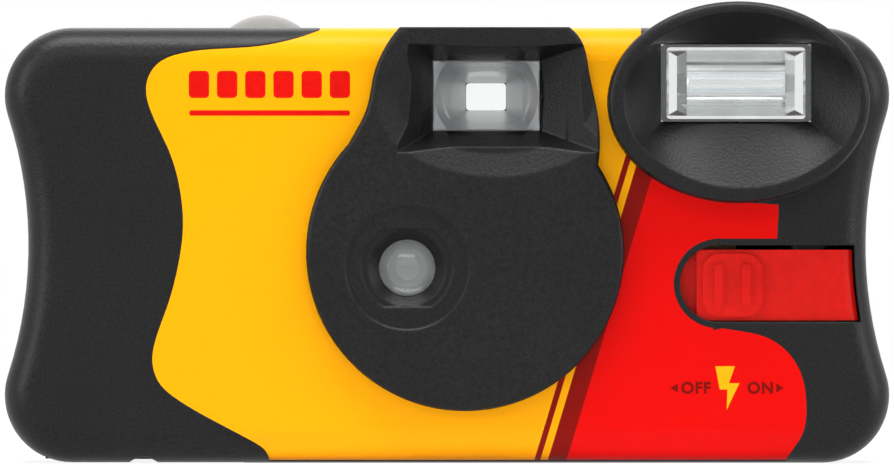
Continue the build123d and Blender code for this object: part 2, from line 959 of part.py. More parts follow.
def make_back_cover(outer, inner, label):
    cover = (outer - label) & back_half()
    cover -= inner
    for z in (film_bottom + pressure_rib_inset, film_top - pressure_rib_inset):
        cover += block(
            lens_axis_x - gate_width / 2,
            lens_axis_x + gate_width / 2,
            film_y + film_thickness + small_gap,
            inner_back_y,
            z - pressure_rib_height / 2,
            z + pressure_rib_height / 2,
        )
    half_w = eyepiece_width / 2
    half_h = eyepiece_height / 2
    frame = rounded(eyepiece_width, eyepiece_height, eyepiece_round, finder_x, finder_z)
    cover -= slab_y(frame, parting_offset, back_y + cut_overrun)
    wide = trapezoid(
        finder_x, finder_z - half_h - wall, finder_z + half_h + wall, half_w + wall, half_w + wall
    )
    snug = trapezoid(finder_x, finder_z - half_h, finder_z + half_h, half_w, half_w)
    cover -= frustum(snug, back_y - eyepiece_recess, wide, back_y + small_gap)
    cover -= rod_y(lamp_x, lamp_z, pipe_radius + small_gap, 0, back_y + cut_overrun)
    cover -= rod_y(
        lamp_x, lamp_z, pipe_head_radius + small_gap, back_y - pipe_head_length, back_y + cut_overrun
    )
    middle = (wheel_bottom + wheel_top) / 2
    half = wheel_scoop_width / 2
    rise = wheel_scoop_height / 2
    small = trapezoid(
        cartridge_x,
        middle - rise + wheel_scoop_taper,
        middle + rise - wheel_scoop_taper,
        half - wheel_scoop_taper,
        half - wheel_scoop_taper,
    )
    big = trapezoid(cartridge_x, middle - rise, middle + rise, half, half)
    cover -= frustum(small, back_y - wheel_scoop_depth, big, back_y + small_gap)
    cover -= wheel_space(run_gap)
    cover -= door_opening(door_gap)
    for side in (-1, 1):
        edge = cartridge_x + side * (cartridge_radius + door_margin + door_gap)
        tip = edge - side * (door_gap + door_pin_length)
        cover += rod_x(door_hinge_y, door_axis_z, door_pin_radius, min(edge, tip), max(edge, tip))
    return cover


def make_film_door():
    x0 = cartridge_x - cartridge_radius - door_margin
    x1 = cartridge_x + cartridge_radius + door_margin
    top = door_sink + door_thickness
    door = block(x0, x1, door_front_y, door_hinge_y, door_sink, top)
    nub_y = -door_nub_reach + door_nub_radius
    door += rod_z(cartridge_x, nub_y, door_nub_radius, door_sink, top)
    door += rod_x(door_hinge_y, door_axis_z, door_barrel_radius, x0, x1)
    for side in (-1, 1):
        edge = cartridge_x + side * (cartridge_radius + door_margin)
        tip = edge - side * (door_pin_length + run_gap)
        bore = rod_x(
            door_hinge_y, door_axis_z, door_pin_radius + pivot_play, min(edge, tip), max(edge, tip)
        )
        door -= bore
    return door


def tunnel(extra):
    """The tapered space between the lens board and the film gate, grown by extra."""
    front = trapezoid(
        lens_axis_x,
        lens_axis_z - tunnel_front_half_height - extra,
        lens_axis_z + tunnel_front_half_height + extra,
        tunnel_front_half_width + extra,
        tunnel_front_half_width + extra,
    )
    half_w = gate_width / 2 + extra
    half_h = gate_height / 2 + extra
    rear = trapezoid(lens_axis_x, lens_axis_z - half_h, lens_axis_z + half_h, half_w, half_w)
    return frustum(front, tunnel_front_y, rear, gate_front_y)


def roll_chamber():
    """The open-backed chamber that the unexposed film roll sits in."""
    low = film_bottom - small_gap - supply_flange_thickness - run_gap
    high = film_top + small_gap + supply_flange_thickness + run_gap
    outer_radius = roll_radius + chamber_gap + frame_wall
    inner_radius = roll_radius + chamber_gap
    left = roll_x - outer_radius
    ring = rod_z(roll_x, roll_y, outer_radius, low - frame_wall, high)
    ring -= rod_z(roll_x, roll_y, inner_radius, low, high + cut_overrun)
    ring -= block(left, roll_x + outer_radius, roll_y + chamber_cut_back, back_y, low, high + cut_overrun)
    roof = rod_z(roll_x, roll_y, outer_radius, high, high + frame_wall)
    roof &= block(
        left, roll_x + outer_radius, chamber_roof_front, roll_y + chamber_cut_back, high, high + frame_wall
    )
    chamber = ring + roof
    chamber -= block(
        left, roll_x + outer_radius, front_y, chamber_roof_front, chamber_front_top, high + frame_wall
    )
    chamber += block(left, left + frame_wall, roll_y, gate_back_y, low - frame_wall, high + frame_wall)
    bore = supply_pin_radius + pivot_play
    chamber -= rod_z(roll_x, roll_y, bore, low - frame_wall - cut_overrun, high + frame_wall + cut_overrun)
    foot_top = low - frame_wall
    chamber += block(
        roll_x - standoff_width,
        roll_x + standoff_width,
        roll_y - inner_radius,
        roll_y - supply_pin_radius - frame_wall,
        frame_bottom,
        foot_top,
    )
    for share in (0, 1):
        z = film_bottom + standoff_rise + share * standoff_pitch
        chamber += block(
            roll_x - standoff_width / 2,
            roll_x + standoff_width / 2,
            circuit_back_y,
            roll_y - inner_radius - frame_wall / 2,
            z,
            z + standoff_height,
        )
    return chamber


def button_guide():
    """The little tower that guides the shutter button's stem."""
    right = button_x + guide_right
    front = button_y - guide_front
    guide = block(
        button_x - guide_left, right, front, button_y + guide_back, guide_z, guide_z + guide_thickness
    )
    guide += block(right - guide_post, right, front, front + guide_post, deck_z, guide_z)
    guide -= rod_z(
        button_x, button_y, button_stem_radius + pivot_play, guide_z - cut_overrun, guide_z + cut_overrun
    )
    return guide - wheel_space(run_gap)


def lever_post():
    """The post and pin that the release lever rocks on."""
    back = lever_y - lever_width / 2 - lever_post_gap
    front = back - lever_post_thickness
    half = lever_post_width / 2
    post = block(lever_x - half, lever_x + half, front, back, deck_z, lever_post_top)
    return post + rod_y(lever_x, lever_z, pivot_pin_radius, front, lever_y + lever_width / 2 + fit_gap)


def make_main_frame():
    wall_left = cartridge_x + cartridge_radius + chamber_gap
    wall_right = wall_left + frame_wall
    chamber_left = roll_x - roll_radius - chamber_gap - frame_wall
    shelf_bottom = cartridge_top + shelf_gap
    gate_top = film_top + chamber_gap
    frame = block(wall_left, wall_right, frame_front_y, gate_back_y, frame_bottom, gate_top)
    frame += block(wall_left, wall_right, frame_front_y, gate_back_y - frame_wall, frame_bottom,
                   shelf_bottom + shelf_thickness)
    frame += block(wall_left, chamber_left + frame_wall, gate_front_y, gate_back_y, frame_bottom, gate_top)
    frame += block(wall_right - small_gap, chamber_left, deck_front_y, gate_back_y, deck_z, deck_top)
    frame += roll_chamber()
    frame += tunnel(frame_wall)
    frame += block(
        lens_axis_x - board_half_width,
        lens_axis_x + board_half_width,
        tunnel_front_y - board_thickness,
        tunnel_front_y,
        lens_axis_z - board_drop,
        lens_axis_z + board_rise,
    )
    frame -= tunnel(0)
    gate = rounded(gate_width, gate_height, small_gap, lens_axis_x, lens_axis_z)
    frame -= slab_y(gate, gate_front_y - small_gap, gate_back_y + cut_overrun)
    frame -= rod_y(
        lens_axis_x, lens_axis_z, board_hole_radius, board_front_y - cut_overrun, tunnel_front_y + small_gap
    )
    shelf = rod_z(cartridge_x, cartridge_y, shelf_radius, shelf_bottom, shelf_bottom + shelf_thickness)
    shelf += block(
        cartridge_x,
        wall_right,
        cartridge_y - spool_core_radius,
        cartridge_y + spool_core_radius,
        shelf_bottom,
        shelf_bottom + shelf_thickness,
    )
    frame += shelf
    frame -= rod_z(cartridge_x, cartridge_y, wheel_hub_radius + pivot_play, shelf_bottom - cut_overrun,
                   shelf_bottom + shelf_thickness + cut_overrun)
    frame -= rod_z(
        sprocket_x,
        sprocket_y,
        sprocket_tip_radius + sprocket_slot_gap,
        sprocket_bottom - run_gap,
        deck_z,
    )
    frame += rod_z(sprocket_x, sprocket_y, sprocket_collar_radius + sprocket_seat, deck_z, deck_top)
    frame -= rod_z(sprocket_x, sprocket_y, sprocket_shaft_radius + pivot_play, deck_z - cut_overrun,
                   deck_top + cut_overrun)
    frame += rod_z(counter_x, counter_y, counter_post_radius, deck_z, counter_z - run_gap)
    frame += rod_z(
        counter_x, counter_y, counter_pin_radius, counter_z - cut_overrun, counter_z + counter_thickness
    )
    frame += rod_z(
        drive_pivot_x, drive_pivot_y, pivot_pin_radius, deck_z, drive_z + drive_thickness + fit_gap
    )
    frame += rod_y(blade_pivot_x, blade_pivot_z, pivot_pin_radius, blade_pin_front, tunnel_front_y)
    return frame + button_guide() + lever_post()


def make_light_baffle():
    """A thin frame part of the way down the light tunnel."""
    y = tunnel_front_y + (gate_front_y - tunnel_front_y) * baffle_share
    around = tunnel(-small_gap) & block(-body_width, body_width, y, y + baffle_thickness, 0, body_height)
    return around - tunnel(-baffle_rim)


def lens_disc(radius, y0, y1):
    return rod_y(lens_axis_x, lens_axis_z, radius, y0, y1)


def dome(radius, rise, flat_y, side):
    """A spherical cap on the lens axis that bulges from flat_y by rise, forward for side -1."""
    ball = (radius**2 + rise**2) / (2 * rise)
    centre = flat_y - side * (ball - rise)
    cap = Pos(lens_axis_x, centre, lens_axis_z) * Sphere(ball)
    tip = flat_y + side * rise
    return cap & lens_disc(radius, min(flat_y, tip), max(flat_y, tip))


def make_front_lens():
    shoulder = inner_front_y - lens_neck
    lens = lens_disc(lens_flange_radius, lens_front_y, lens_front_y + lens_flange_thickness)
    lens += lens_disc(lens_hole_radius - fit_gap, shoulder, lens_front_y)
    return lens + dome(lens_hole_radius - fit_gap, lens_dome_rise, shoulder, -1)


def make_aperture_stop():
    stop = lens_disc(lens_flange_radius, stop_y, stop_y + stop_thickness)
    return stop - lens_disc(stop_radius, stop_y - cut_overrun, stop_y + cut_overrun)


def make_rear_lens():
    lens = lens_disc(lens_flange_radius, rear_lens_y, rear_lens_y + rear_lens_thickness)
    return lens + dome(holder_hole_radius - fit_gap, rear_lens_bulge, rear_lens_y + rear_lens_thickness, 1)


def make_lens_holder():
    barrel_radius = lens_flange_radius + small_gap + holder_wall
    floor_y = holder_back_y - holder_floor
    holder = lens_disc(barrel_radius, lens_front_y, holder_back_y)
    holder += block(
        lens_axis_x - holder_plate_half_width,
        lens_axis_x + holder_plate_half_width,
        floor_y,
        holder_back_y,
        lens_axis_z - holder_plate_drop,
        lens_axis_z + holder_plate_rise,
    )
    left = lens_axis_x - holder_plate_half_width + holder_leg / 2
    right = lens_axis_x + holder_plate_half_width - holder_leg / 2
    low = lens_axis_z - holder_plate_drop + holder_leg / 2
    high = lens_axis_z + holder_plate_rise - holder_leg / 2
    for x, z in ((left, low), (right, low), (right, high), (left, lens_axis_z - holder_leg)):
        half = holder_leg / 2
        holder += block(x - half, x + half, floor_y, board_front_y, z - half, z + half)
    holder -= lens_disc(lens_flange_radius + small_gap, lens_front_y - cut_overrun, floor_y)
    holder -= lens_disc(holder_hole_radius, floor_y - cut_overrun, board_front_y)
    return holder - rod_y(
        blade_pivot_x,
        blade_pivot_z,
        pivot_pin_radius + pivot_play,
        floor_y - cut_overrun,
        holder_back_y + cut_overrun,
    )


def make_shutter_blade():
    y0 = blade_y
    y1 = blade_y + blade_thickness
    arm_length = math.hypot(blade_pivot_left, blade_pivot_up)
    turn = math.degrees(math.atan2(-blade_pivot_up, blade_pivot_left))
    arm = Pos(blade_pivot_x, blade_pivot_z) * Rot(0, 0, turn) * Pos(arm_length / 2, 0)
    outline = Pos(lens_axis_x, lens_axis_z) * Circle(blade_disc_radius)
    outline += Pos(blade_pivot_x, blade_pivot_z) * Circle(blade_hub_radius)
    outline += arm * Rectangle(arm_length, blade_arm_width)
    outline += Pos(blade_pivot_x, blade_pivot_z + blade_tab_height / 2) * Rectangle(
        blade_tab_width, blade_tab_height
    )
    outline -= Pos(blade_pivot_x, blade_pivot_z) * Circle(pivot_pin_radius + pivot_play)
    return slab_y(outline, y0, y1)


def coil(radius, turns, pitch):
    """A round wire wound along +Z from the origin's level, with flat rest ends left off."""
    path = Helix(pitch, turns * pitch, radius)
    start = Plane(origin=path @ 0, z_dir=path % 0)
    return sweep(start * Circle(spring_wire / 2), path=path)


def make_blade_spring():
    lift = spring_wire / 2 + small_gap
    y = holder_back_y - holder_floor - lift
    wound = coil(pivot_pin_radius + pivot_play + spring_wire, spring_turns, spring_pitch)
    return Pos(blade_pivot_x, y, blade_pivot_z) * Rot(90, 0, 0) * wound


def make_drive_lever():
    x = drive_pivot_x
    y = drive_pivot_y
    tip = Pos(x, y) * Rot(0, 0, drive_tail_angle) * Pos(drive_tail_length / 2, 0)
    finger_x = blade_pivot_x + blade_tab_width / 2 + fit_gap + drive_finger / 2
    half = drive_finger / 2
    outline = Pos(x, y) * Circle(drive_hub_radius)
    outline += tip * Rectangle(drive_tail_length, drive_arm_width)
    outline += Pos(x, y - drive_reach / 2) * Rectangle(drive_arm_width, drive_reach)
    outline -= Pos(x, y) * Circle(pivot_pin_radius + pivot_play)
    lever = slab_z(outline, drive_z, drive_z + drive_thickness)
    return lever + block(
        finger_x - half,
        finger_x + half,
        y - drive_reach - half,
        y - drive_reach + half,
        finger_bottom,
        drive_z + drive_thickness,
    )


def make_drive_spring():
    wound = coil(pivot_pin_radius + pivot_play + spring_wire, spring_turns, spring_pitch)
    return Pos(drive_pivot_x, drive_pivot_y, deck_top + small_gap + spring_wire / 2) * wound


def make_release_lever():
    y0 = lever_y - lever_width / 2
    y1 = lever_y + lever_width / 2
    half = lever_thickness / 2
    right = lever_x + lever_reach_right
    lever = block(lever_x - lever_reach_left, right, y0, y1, lever_z - half, lever_z + half)
    lever += rod_y(lever_x, lever_z, pivot_pin_radius + frame_wall / 2, y0, y1)
    lever += block(
        right - lever_hook_width, right, y0, y1, drive_z + drive_thickness + lever_hook_gap, lever_z
    )
    return lever - rod_y(
        lever_x, lever_z, pivot_pin_radius + pivot_play, y0 - cut_overrun, y1 + cut_overrun
    )


def make_shutter_button():
    flange_top = inner_top_z - run_gap
    ball = (button_radius**2 + button_rise**2) / (2 * button_rise)
    crown = Pos(button_x, button_y, body_height + button_rise - ball) * Sphere(ball)
    crown &= rod_z(button_x, button_y, button_radius, body_height, body_height + button_rise)
    button = rod_z(button_x, button_y, button_radius, flange_top, body_height) + crown
    button += rod_z(
        button_x, button_y, button_radius + button_flange, flange_top - button_flange_thickness, flange_top
    )
    stem_bottom = lever_z + lever_thickness / 2 + small_gap
    return button + rod_z(button_x, button_y, button_stem_radius, stem_bottom, flange_top)


def make_button_spring():
    rest = guide_z + guide_thickness + pivot_play + spring_wire / 2
    return Pos(button_x, button_y, rest) * coil(button_spring_radius, spring_turns, button_spring_pitch)


def saw_outline(cx, cy, tip, root, count, lean_share):
    """A toothed wheel outline whose teeth lean by a share of their pitch."""
    points = []
    step = 2 * math.pi / count
    for number in range(count):
        start = number * step
        points.append((cx + root * math.cos(start), cy + root * math.sin(start)))
        peak = start + step * lean_share
        points.append((cx + tip * math.cos(peak), cy + tip * math.sin(peak)))
    return make_face(Polyline(points, close=True))


def notched_outline(cx, cy, radius, count, notch_radius, notch_centre):
    """A round outline with small round notches all the way round its rim."""
    notches = []
    for number in range(count):
        turn = 2 * math.pi * number / count
        notches.append(
            Pos(cx + notch_centre * math.cos(turn), cy + notch_centre * math.sin(turn)) * Circle(
                notch_radius,
            ),
        )
    return Pos(cx, cy) * Circle(radius) - notches


def make_advance_wheel():
    x = cartridge_x
    y = cartridge_y
    centre = wheel_radius + wheel_notch_radius - wheel_notch_depth
    rim = notched_outline(x, y, wheel_radius, wheel_tooth_count, wheel_notch_radius, centre)
    wheel = slab_z(rim, wheel_bottom, wheel_top)
    saw = saw_outline(
        x, y, ratchet_radius, ratchet_radius - ratchet_tooth_depth, ratchet_count, ratchet_lean_share
    )
    wheel += slab_z(saw, wheel_bottom - ratchet_height, wheel_bottom)
    wheel += rod_z(x, y, wheel_hub_radius, cartridge_top + fit_gap, wheel_bottom)
    fork_bottom = cartridge_top - fork_length
    fork = rod_z(x, y, fork_radius, fork_bottom, cartridge_top + fit_gap)
    slot = drive_slot_width / 2
    fork -= block(x - wheel_radius, x + wheel_radius, y - slot, y + slot, fork_bottom - cut_overrun,
                  fork_bottom + drive_bar_height + fit_gap)
    return wheel + fork


def make_anti_reverse_pawl():
    x = cartridge_x + ratchet_radius + pawl_gap + pawl_radius
    y = cartridge_y - pawl_back
    low = cartridge_top + shelf_gap + shelf_thickness
    pawl = rod_z(x, y, pawl_radius, low, low + ratchet_height)
    return pawl + block(x - pawl_width, x, y, y + pawl_length, low, low + ratchet_height)


def make_cartridge_shell():
    x = cartridge_x
    y = cartridge_y
    low = cartridge_bottom + cap_thickness
    high = cartridge_top - cap_thickness
    lip_y = film_y - lip_thickness
    lip_right = x + cartridge_radius + cap_rim
    lip = block(x, lip_right, lip_y, lip_y + lip_height, cartridge_bottom + cap_height + fit_gap,
                cartridge_top - cap_height - fit_gap)
    shell = rod_z(x, y, cartridge_radius, low, high) + lip
    shell -= rod_z(x, y, cartridge_radius - cartridge_shell, low - cut_overrun, high + cut_overrun)
    return shell - block(
        x,
        lip_right + cut_overrun,
        film_y - small_gap,
        film_y + film_thickness + small_gap,
        film_bottom - small_gap,
        film_top + small_gap,
    )


def make_cartridge_caps():
    x = cartridge_x
    y = cartridge_y
    caps = []
    hole = spool_hub_radius + run_gap
    for outside, inside in (
        (cartridge_bottom, cartridge_bottom + cap_height), (cartridge_top, cartridge_top - cap_height)
    ):
        low = min(outside, inside)
        high = max(outside, inside)
        toward = math.copysign(cap_thickness, inside - outside)
        cap = rod_z(x, y, cartridge_radius + cap_rim, low, high)
        floor = outside + toward
        cap -= rod_z(
            x, y, cartridge_radius + small_gap / 2, min(floor, inside + toward), max(floor, inside + toward)
        )
        cap -= rod_z(x, y, hole, low - cut_overrun, high + cut_overrun)
        caps.append(cap)
    return Compound(children=caps)


def make_cartridge_spool():
    x = cartridge_x
    y = cartridge_y
    inside = cap_thickness + spool_end_gap
    low = cartridge_bottom + inside
    high = cartridge_top - inside
    spool = rod_z(x, y, spool_core_radius, low, high)
    spool += rod_z(x, y, spool_hub_radius, cartridge_bottom - spool_hub_rise, cartridge_top)
    spool += rod_z(x, y, spool_flange_radius, low, low + spool_flange_thickness)
    spool += rod_z(x, y, spool_flange_radius, high - spool_flange_thickness, high)
    bore_bottom = cartridge_top - hub_bore_depth
    spool -= rod_z(x, y, hub_bore_radius, bore_bottom, cartridge_top + cut_overrun)
    half = drive_bar_width / 2
    reach = hub_bore_radius + cap_rim
    return spool + block(x - reach, x + reach, y - half, y + half, bore_bottom,
                         cartridge_top - fork_length + drive_bar_height)


def make_film_strip():
    x0 = cartridge_x + spool_core_radius
    film = block(x0, roll_x, film_y, film_y + film_thickness, film_bottom, film_top)
    count = int((roll_x - x0) / perforation_pitch)
    holes = []
    for number in range(count):
        x = x0 + (number + baffle_share) * perforation_pitch
        for z in (film_bottom + perforation_margin, film_top - perforation_margin - perforation_width):
            holes.append(
                block(
                    x,
                    x + perforation_length,
                    film_y - cut_overrun,
                    film_y + cut_overrun,
                    z,
                    z + perforation_width,
                ),
            )
    return film - holes


def make_supply_spool():
    low = film_bottom - small_gap - supply_flange_thickness
    high = film_top + small_gap + supply_flange_thickness
    spool = rod_z(roll_x, roll_y, supply_core_radius, low, high)
    spool += rod_z(roll_x, roll_y, supply_flange_radius, low, low + supply_flange_thickness)
    spool += rod_z(roll_x, roll_y, supply_flange_radius, high - supply_flange_thickness, high)
    reach = run_gap + frame_wall - supply_pin_end
    return spool + rod_z(roll_x, roll_y, supply_pin_radius, low - reach, high + reach)


def make_film_roll():
    roll = rod_z(roll_x, roll_y, roll_radius, film_bottom, film_top)
    return roll - rod_z(roll_x, roll_y, supply_core_radius + pivot_play / 2, film_bottom - cut_overrun,
                        film_top + cut_overrun)


def make_film_sprocket():
    x = sprocket_x
    y = sprocket_y
    teeth = []
    for number in range(sprocket_tooth_count):
        turn = 360 * (number + 1 / 2) / sprocket_tooth_count
        tooth = Rot(0, 0, turn) * Pos(sprocket_tip_radius / 2, 0) * Rectangle(
            sprocket_tip_radius, perforation_length / 2
        )
        teeth.append(Pos(x, y) * tooth)
    outline = Pos(x, y) * Circle(sprocket_body_radius) + teeth
    sprocket = slab_z(outline, sprocket_bottom, sprocket_top)
    finger_top = counter_z + counter_thickness
    sprocket += rod_z(x, y, sprocket_shaft_radius, sprocket_top, finger_top)
    collar = deck_top + small_gap
    sprocket += rod_z(x, y, sprocket_collar_radius, collar, collar + sprocket_collar_thickness)
    cam = deck_top + cam_lift
    sprocket += rod_z(x - cam_offset, y, cam_radius, cam, cam + cam_thickness)
    reach = math.hypot(counter_x - x, counter_y - y) - counter_radius - finger_gap
    hub = Pos(x, y) * Circle(sprocket_collar_radius)
    finger = hub + Pos(x - reach / 2, y) * Rectangle(reach, counter_finger_width)
    return sprocket + slab_z(finger & (Pos(x, y) * Circle(reach)), counter_z, finger_top)


def make_counter_disc():
    root = counter_radius - counter_tooth_depth
    outline = saw_outline(counter_x, counter_y, counter_radius, root, counter_tooth_count, 1 / 2)
    outline -= Pos(counter_x, counter_y) * Circle(counter_pin_radius + pivot_play)
    return slab_z(outline, counter_z, counter_z + counter_thickness)


def make_counter_window():
    flange_top = inner_top_z - small_gap
    window = rod_z(counter_x, window_y(), window_radius, flange_top, body_height - window_sink)
    return window + rod_z(
        counter_x, window_y(
        ), window_radius + window_flange, flange_top - window_flange_thickness, flange_top
    )


def make_viewfinder_front_lens():
    front = panel_y + finder_recess_depth + small_gap
    width = finder_window_width + 2 * finder_border
    height = finder_window_height + 2 * finder_border
    lens = slab_y(
        rounded(width, height, finder_window_round, finder_x, finder_z),
        front,
        front + finder_lens_thickness,
    )
    eye = Pos(finder_x, finder_z) * Circle(finder_lens_scallop)
    eye &= rounded(
        finder_window_width - fit_gap,
        finder_window_height - fit_gap,
        finder_window_round,
        finder_x,
        finder_z,
    )
    lens += slab_y(eye, front - finder_lens_bulge, front)
    hollow_y = front - finder_lens_bulge + finder_lens_middle + finder_lens_hollow
    return lens - Pos(finder_x, hollow_y, finder_z) * Sphere(finder_lens_hollow)


def make_viewfinder_rear_lens():
    back = back_y - eyepiece_recess
    lens = slab_y(
        rounded(eyepiece_width - fit_gap, eyepiece_height - fit_gap, eyepiece_round, finder_x, finder_z),
        inner_back_y - small_gap,
        back,
    )
    width = eyepiece_width + 2 * finder_border
    height = eyepiece_height + 2 * finder_border
    flange = rounded(width, height, eyepiece_round, finder_x, finder_z)
    rear = inner_back_y - small_gap
    return lens + slab_y(flange, rear - eyepiece_lens_thickness, rear)


def make_viewfinder_tunnel():
    front = panel_y + finder_recess_depth + finder_lens_thickness + fit_gap
    rear = inner_back_y - eyepiece_lens_thickness - fit_gap
    sizes = []
    for extra in (finder_tunnel_wall, 0):
        mouth = trapezoid(
            finder_x,
            finder_z - finder_window_height / 2 - extra,
            finder_z + finder_window_height / 2 + extra,
            finder_window_width / 2 + extra,
            finder_window_width / 2 + extra,
        )
        end = trapezoid(
            finder_x,
            finder_z - eyepiece_height / 2 - extra,
            finder_z + eyepiece_height / 2 + extra,
            eyepiece_width / 2 + extra,
            eyepiece_width / 2 + extra,
        )
        sizes.append(frustum(mouth, front, end, rear))
    walls, bore = sizes
    for number in range(2):
        y = finder_foot_front + number * finder_foot_pitch - finder_foot_pitch / 2
        half = eyepiece_width / 2
        walls += block(
            finder_x - half, finder_x + half, y, y + finder_foot_width, deck_top + small_gap, finder_z
        )
    return walls - bore


def make_flash_lens():
    floor = hood_y + flash_sink
    shoulder = inner_front_y + small_gap
    width = flash_width - 2 * flash_lens_gap
    height = flash_height - 2 * flash_lens_gap
    lens = slab_y(rounded(width, height, flash_lens_gap, flash_x, flash_z), floor + small_gap, shoulder)
    width = flash_width + 2 * flash_lens_border
    lens += slab_y(
        rounded(width, height, flash_lens_gap, flash_x, flash_z), shoulder, shoulder + flash_lens_thickness
    )
    pitch = height / flash_rib_count
    for number in range(flash_rib_count):
        z = flash_z - height / 2 + (number + 1 / 2) * pitch
        lens += block(
            flash_x - flash_width / 2,
            flash_x + flash_width / 2,
            floor + small_gap - flash_rib_height,
            floor + fit_gap,
            z - pitch / 4,
            z + pitch / 4,
        )
    return lens


def make_flash_reflector():
    front = inner_front_y + small_gap + flash_lens_thickness + reflector_gap
    back = front + reflector_depth
    half = flash_width / 2
    rise = flash_height / 2 - flash_lens_gap
    sizes = []
    for extra in (0, reflector_wall):
        mouth = trapezoid(
            flash_x, flash_z - rise + extra, flash_z + rise - extra, half - extra, half - extra
        )
        end = trapezoid(
            flash_x,
            flash_z - reflector_back_rise + extra,
            flash_z + reflector_back_rise - extra,
            reflector_back_half - extra,
            reflector_back_half - extra,
        )
        sizes.append(frustum(mouth, front - extra, end, back - extra))
    bowl = sizes[0] - sizes[1]
    tube_y = back - tube_setback
    return bowl - rod_x(
        tube_y, flash_z, tube_radius + small_gap, flash_x - flash_width, flash_x + flash_width
    )


def make_flash_tube():
    back = inner_front_y + small_gap + flash_lens_thickness + reflector_gap + reflector_depth
    y = back - tube_setback
    half = flash_width / 2 + tube_overhang
    tube = rod_x(y, flash_z, tube_radius, flash_x - half, flash_x + half)
    return tube + rod_x(
        y, flash_z, electrode_radius, flash_x - half - electrode_length, flash_x + half + electrode_length
    )


def make_circuit_board():
    board = block(board_left, board_right, circuit_front_y, circuit_back_y, circuit_bottom, circuit_top)
    return board + block(
        board_left, lamp_tab_right, circuit_front_y, circuit_back_y, circuit_top, lamp_tab_top
    )


def make_circuit_chips():
    chips = []
    half = chip_width / 2
    for number in range(chip_count):
        z = chip_first_z + number * chip_pitch
        chips.append(
            block(
                chip_x - half,
                chip_x + half,
                circuit_front_y - chip_thickness,
                circuit_front_y,
                z,
                z + chip_height,
            ),
        )
    long_half = resistor_length / 2
    for z in (chip_first_z, chip_first_z + chip_pitch):
        y = circuit_front_y - resistor_radius
        chips.append(rod_x(y, z, resistor_radius, resistor_x - long_half, resistor_x + long_half))
    return Compound(children=chips)


def make_flash_capacitor():
    top = capacitor_bottom + capacitor_height
    can = rod_z(capacitor_x, capacitor_y, capacitor_radius, capacitor_bottom, top)
    rim = rod_z(
        capacitor_x, capacitor_y, capacitor_radius + cut_overrun, top - chip_height, top - chip_thickness
    )
    rim -= rod_z(capacitor_x, capacitor_y, capacitor_radius - capacitor_sleeve, top - chip_height, top)
    return can - rim


def make_transformer():
    x0 = board_right + fit_gap
    half = transformer_size / 2
    top = transformer_bottom + transformer_height
    core = block(
        x0, x0 + transformer_size, transformer_y - half, transformer_y + half, transformer_bottom, top
    )
    core -= block(
        x0 - cut_overrun,
        x0 + transformer_size + cut_overrun,
        transformer_y - half + transformer_plate,
        transformer_y + half - transformer_plate,
        transformer_bottom + transformer_plate,
        top - transformer_plate,
    )
    return core + rod_z(x0 + half, transformer_y, coil_radius - cap_rim, transformer_bottom, top)


def make_ready_lamp():
    start = circuit_back_y + pivot_play
    return rod_y(lamp_x, lamp_z, lamp_radius, start, start + lamp_length)


def make_ready_light_pipe():
    start = circuit_back_y + lamp_length + fit_gap
    pipe = rod_y(lamp_x, lamp_z, pipe_radius, start, back_y)
    return pipe + rod_y(
        lamp_x, lamp_z, pipe_head_radius, back_y - pipe_head_length + pivot_play, back_y + pipe_proud
    )


def make_switch_contact():
    front = circuit_front_y - leaf_stand
    leaf = block(leaf_x, leaf_x + leaf_length, front - leaf_thickness, front, leaf_z, leaf_z + leaf_height)
    return leaf + block(
        leaf_x + leaf_length - leaf_foot,
        leaf_x + leaf_length,
        front,
        circuit_front_y,
        leaf_z,
        leaf_z + leaf_height,
    )


def make_trigger_contact():
    y = circuit_front_y - leaf_thickness
    return block(
        board_left - trigger_length,
        board_left + leaf_foot,
        y,
        circuit_front_y,
        trigger_z,
        trigger_z + trigger_height,
    )


def make_flash_switch():
    left = slot_left + switch_travel + run_gap
    top = slot_top - switch_top_gap
    bottom = slot_bottom + fit_gap
    strip = Pos((left + half_width) / 2, (bottom + top) / 2) * Rectangle(half_width - left, top - bottom)
    body = strip & body_outline(slot_side_margin + fit_gap)
    plate_y = inner_front_y + fit_gap
    slider = slab_y(body, front_y - cut_overrun, plate_y) & body_envelope(switch_face_sink)
    face = front_y + switch_face_sink
    middle = (bottom + top) / 2
    pad_height = top - bottom - 2 * switch_pad_margin
    pad = rounded(switch_pad_width, pad_height, switch_pad_round, switch_pad_x, middle)
    slider += slab_y(pad, face - switch_pad_raise, face)
    for side in (-1, 1):
        x = switch_pad_x + side * switch_ridge_pitch / 2
        ridge = rounded(
            switch_ridge_width, switch_ridge_length, switch_ridge_width / 2 - pivot_play, x, middle
        )
        slider += slab_y(ridge, face - switch_pad_raise - switch_ridge_raise, face)
    start = left - switch_flange_lead
    low = slot_bottom - switch_flange_margin
    flange_y = plate_y + switch_flange_thickness
    slider += block(start, start + switch_flange_length, plate_y, flange_y, low, top)
    high = slot_top + switch_flange_margin
    return slider + block(start, left + switch_flange_lap, plate_y, flange_y, low, high)


def make_battery():
    high = battery_bottom + battery_height
    cell = rod_z(battery_x, battery_y, battery_radius, battery_bottom, high - battery_button_rise)
    return cell + rod_z(battery_x, battery_y, battery_button_radius, battery_bottom, high)


def make_battery_contact_top():
    x0 = battery_x - contact_half_width
    x1 = battery_x + contact_half_width
    y0 = battery_y - contact_half_width
    y1 = battery_y + contact_half_width
    high = inner_top_z - small_gap
    low = battery_bottom + battery_height + pivot_play
    contact = block(x0, x1, y0, y1, high - contact_thickness, high)
    contact += block(x0, x0 + contact_thickness, y0, y1, low, high)
    return contact + block(x0, x1 - contact_thickness, y0, y1, low, low + contact_thickness)


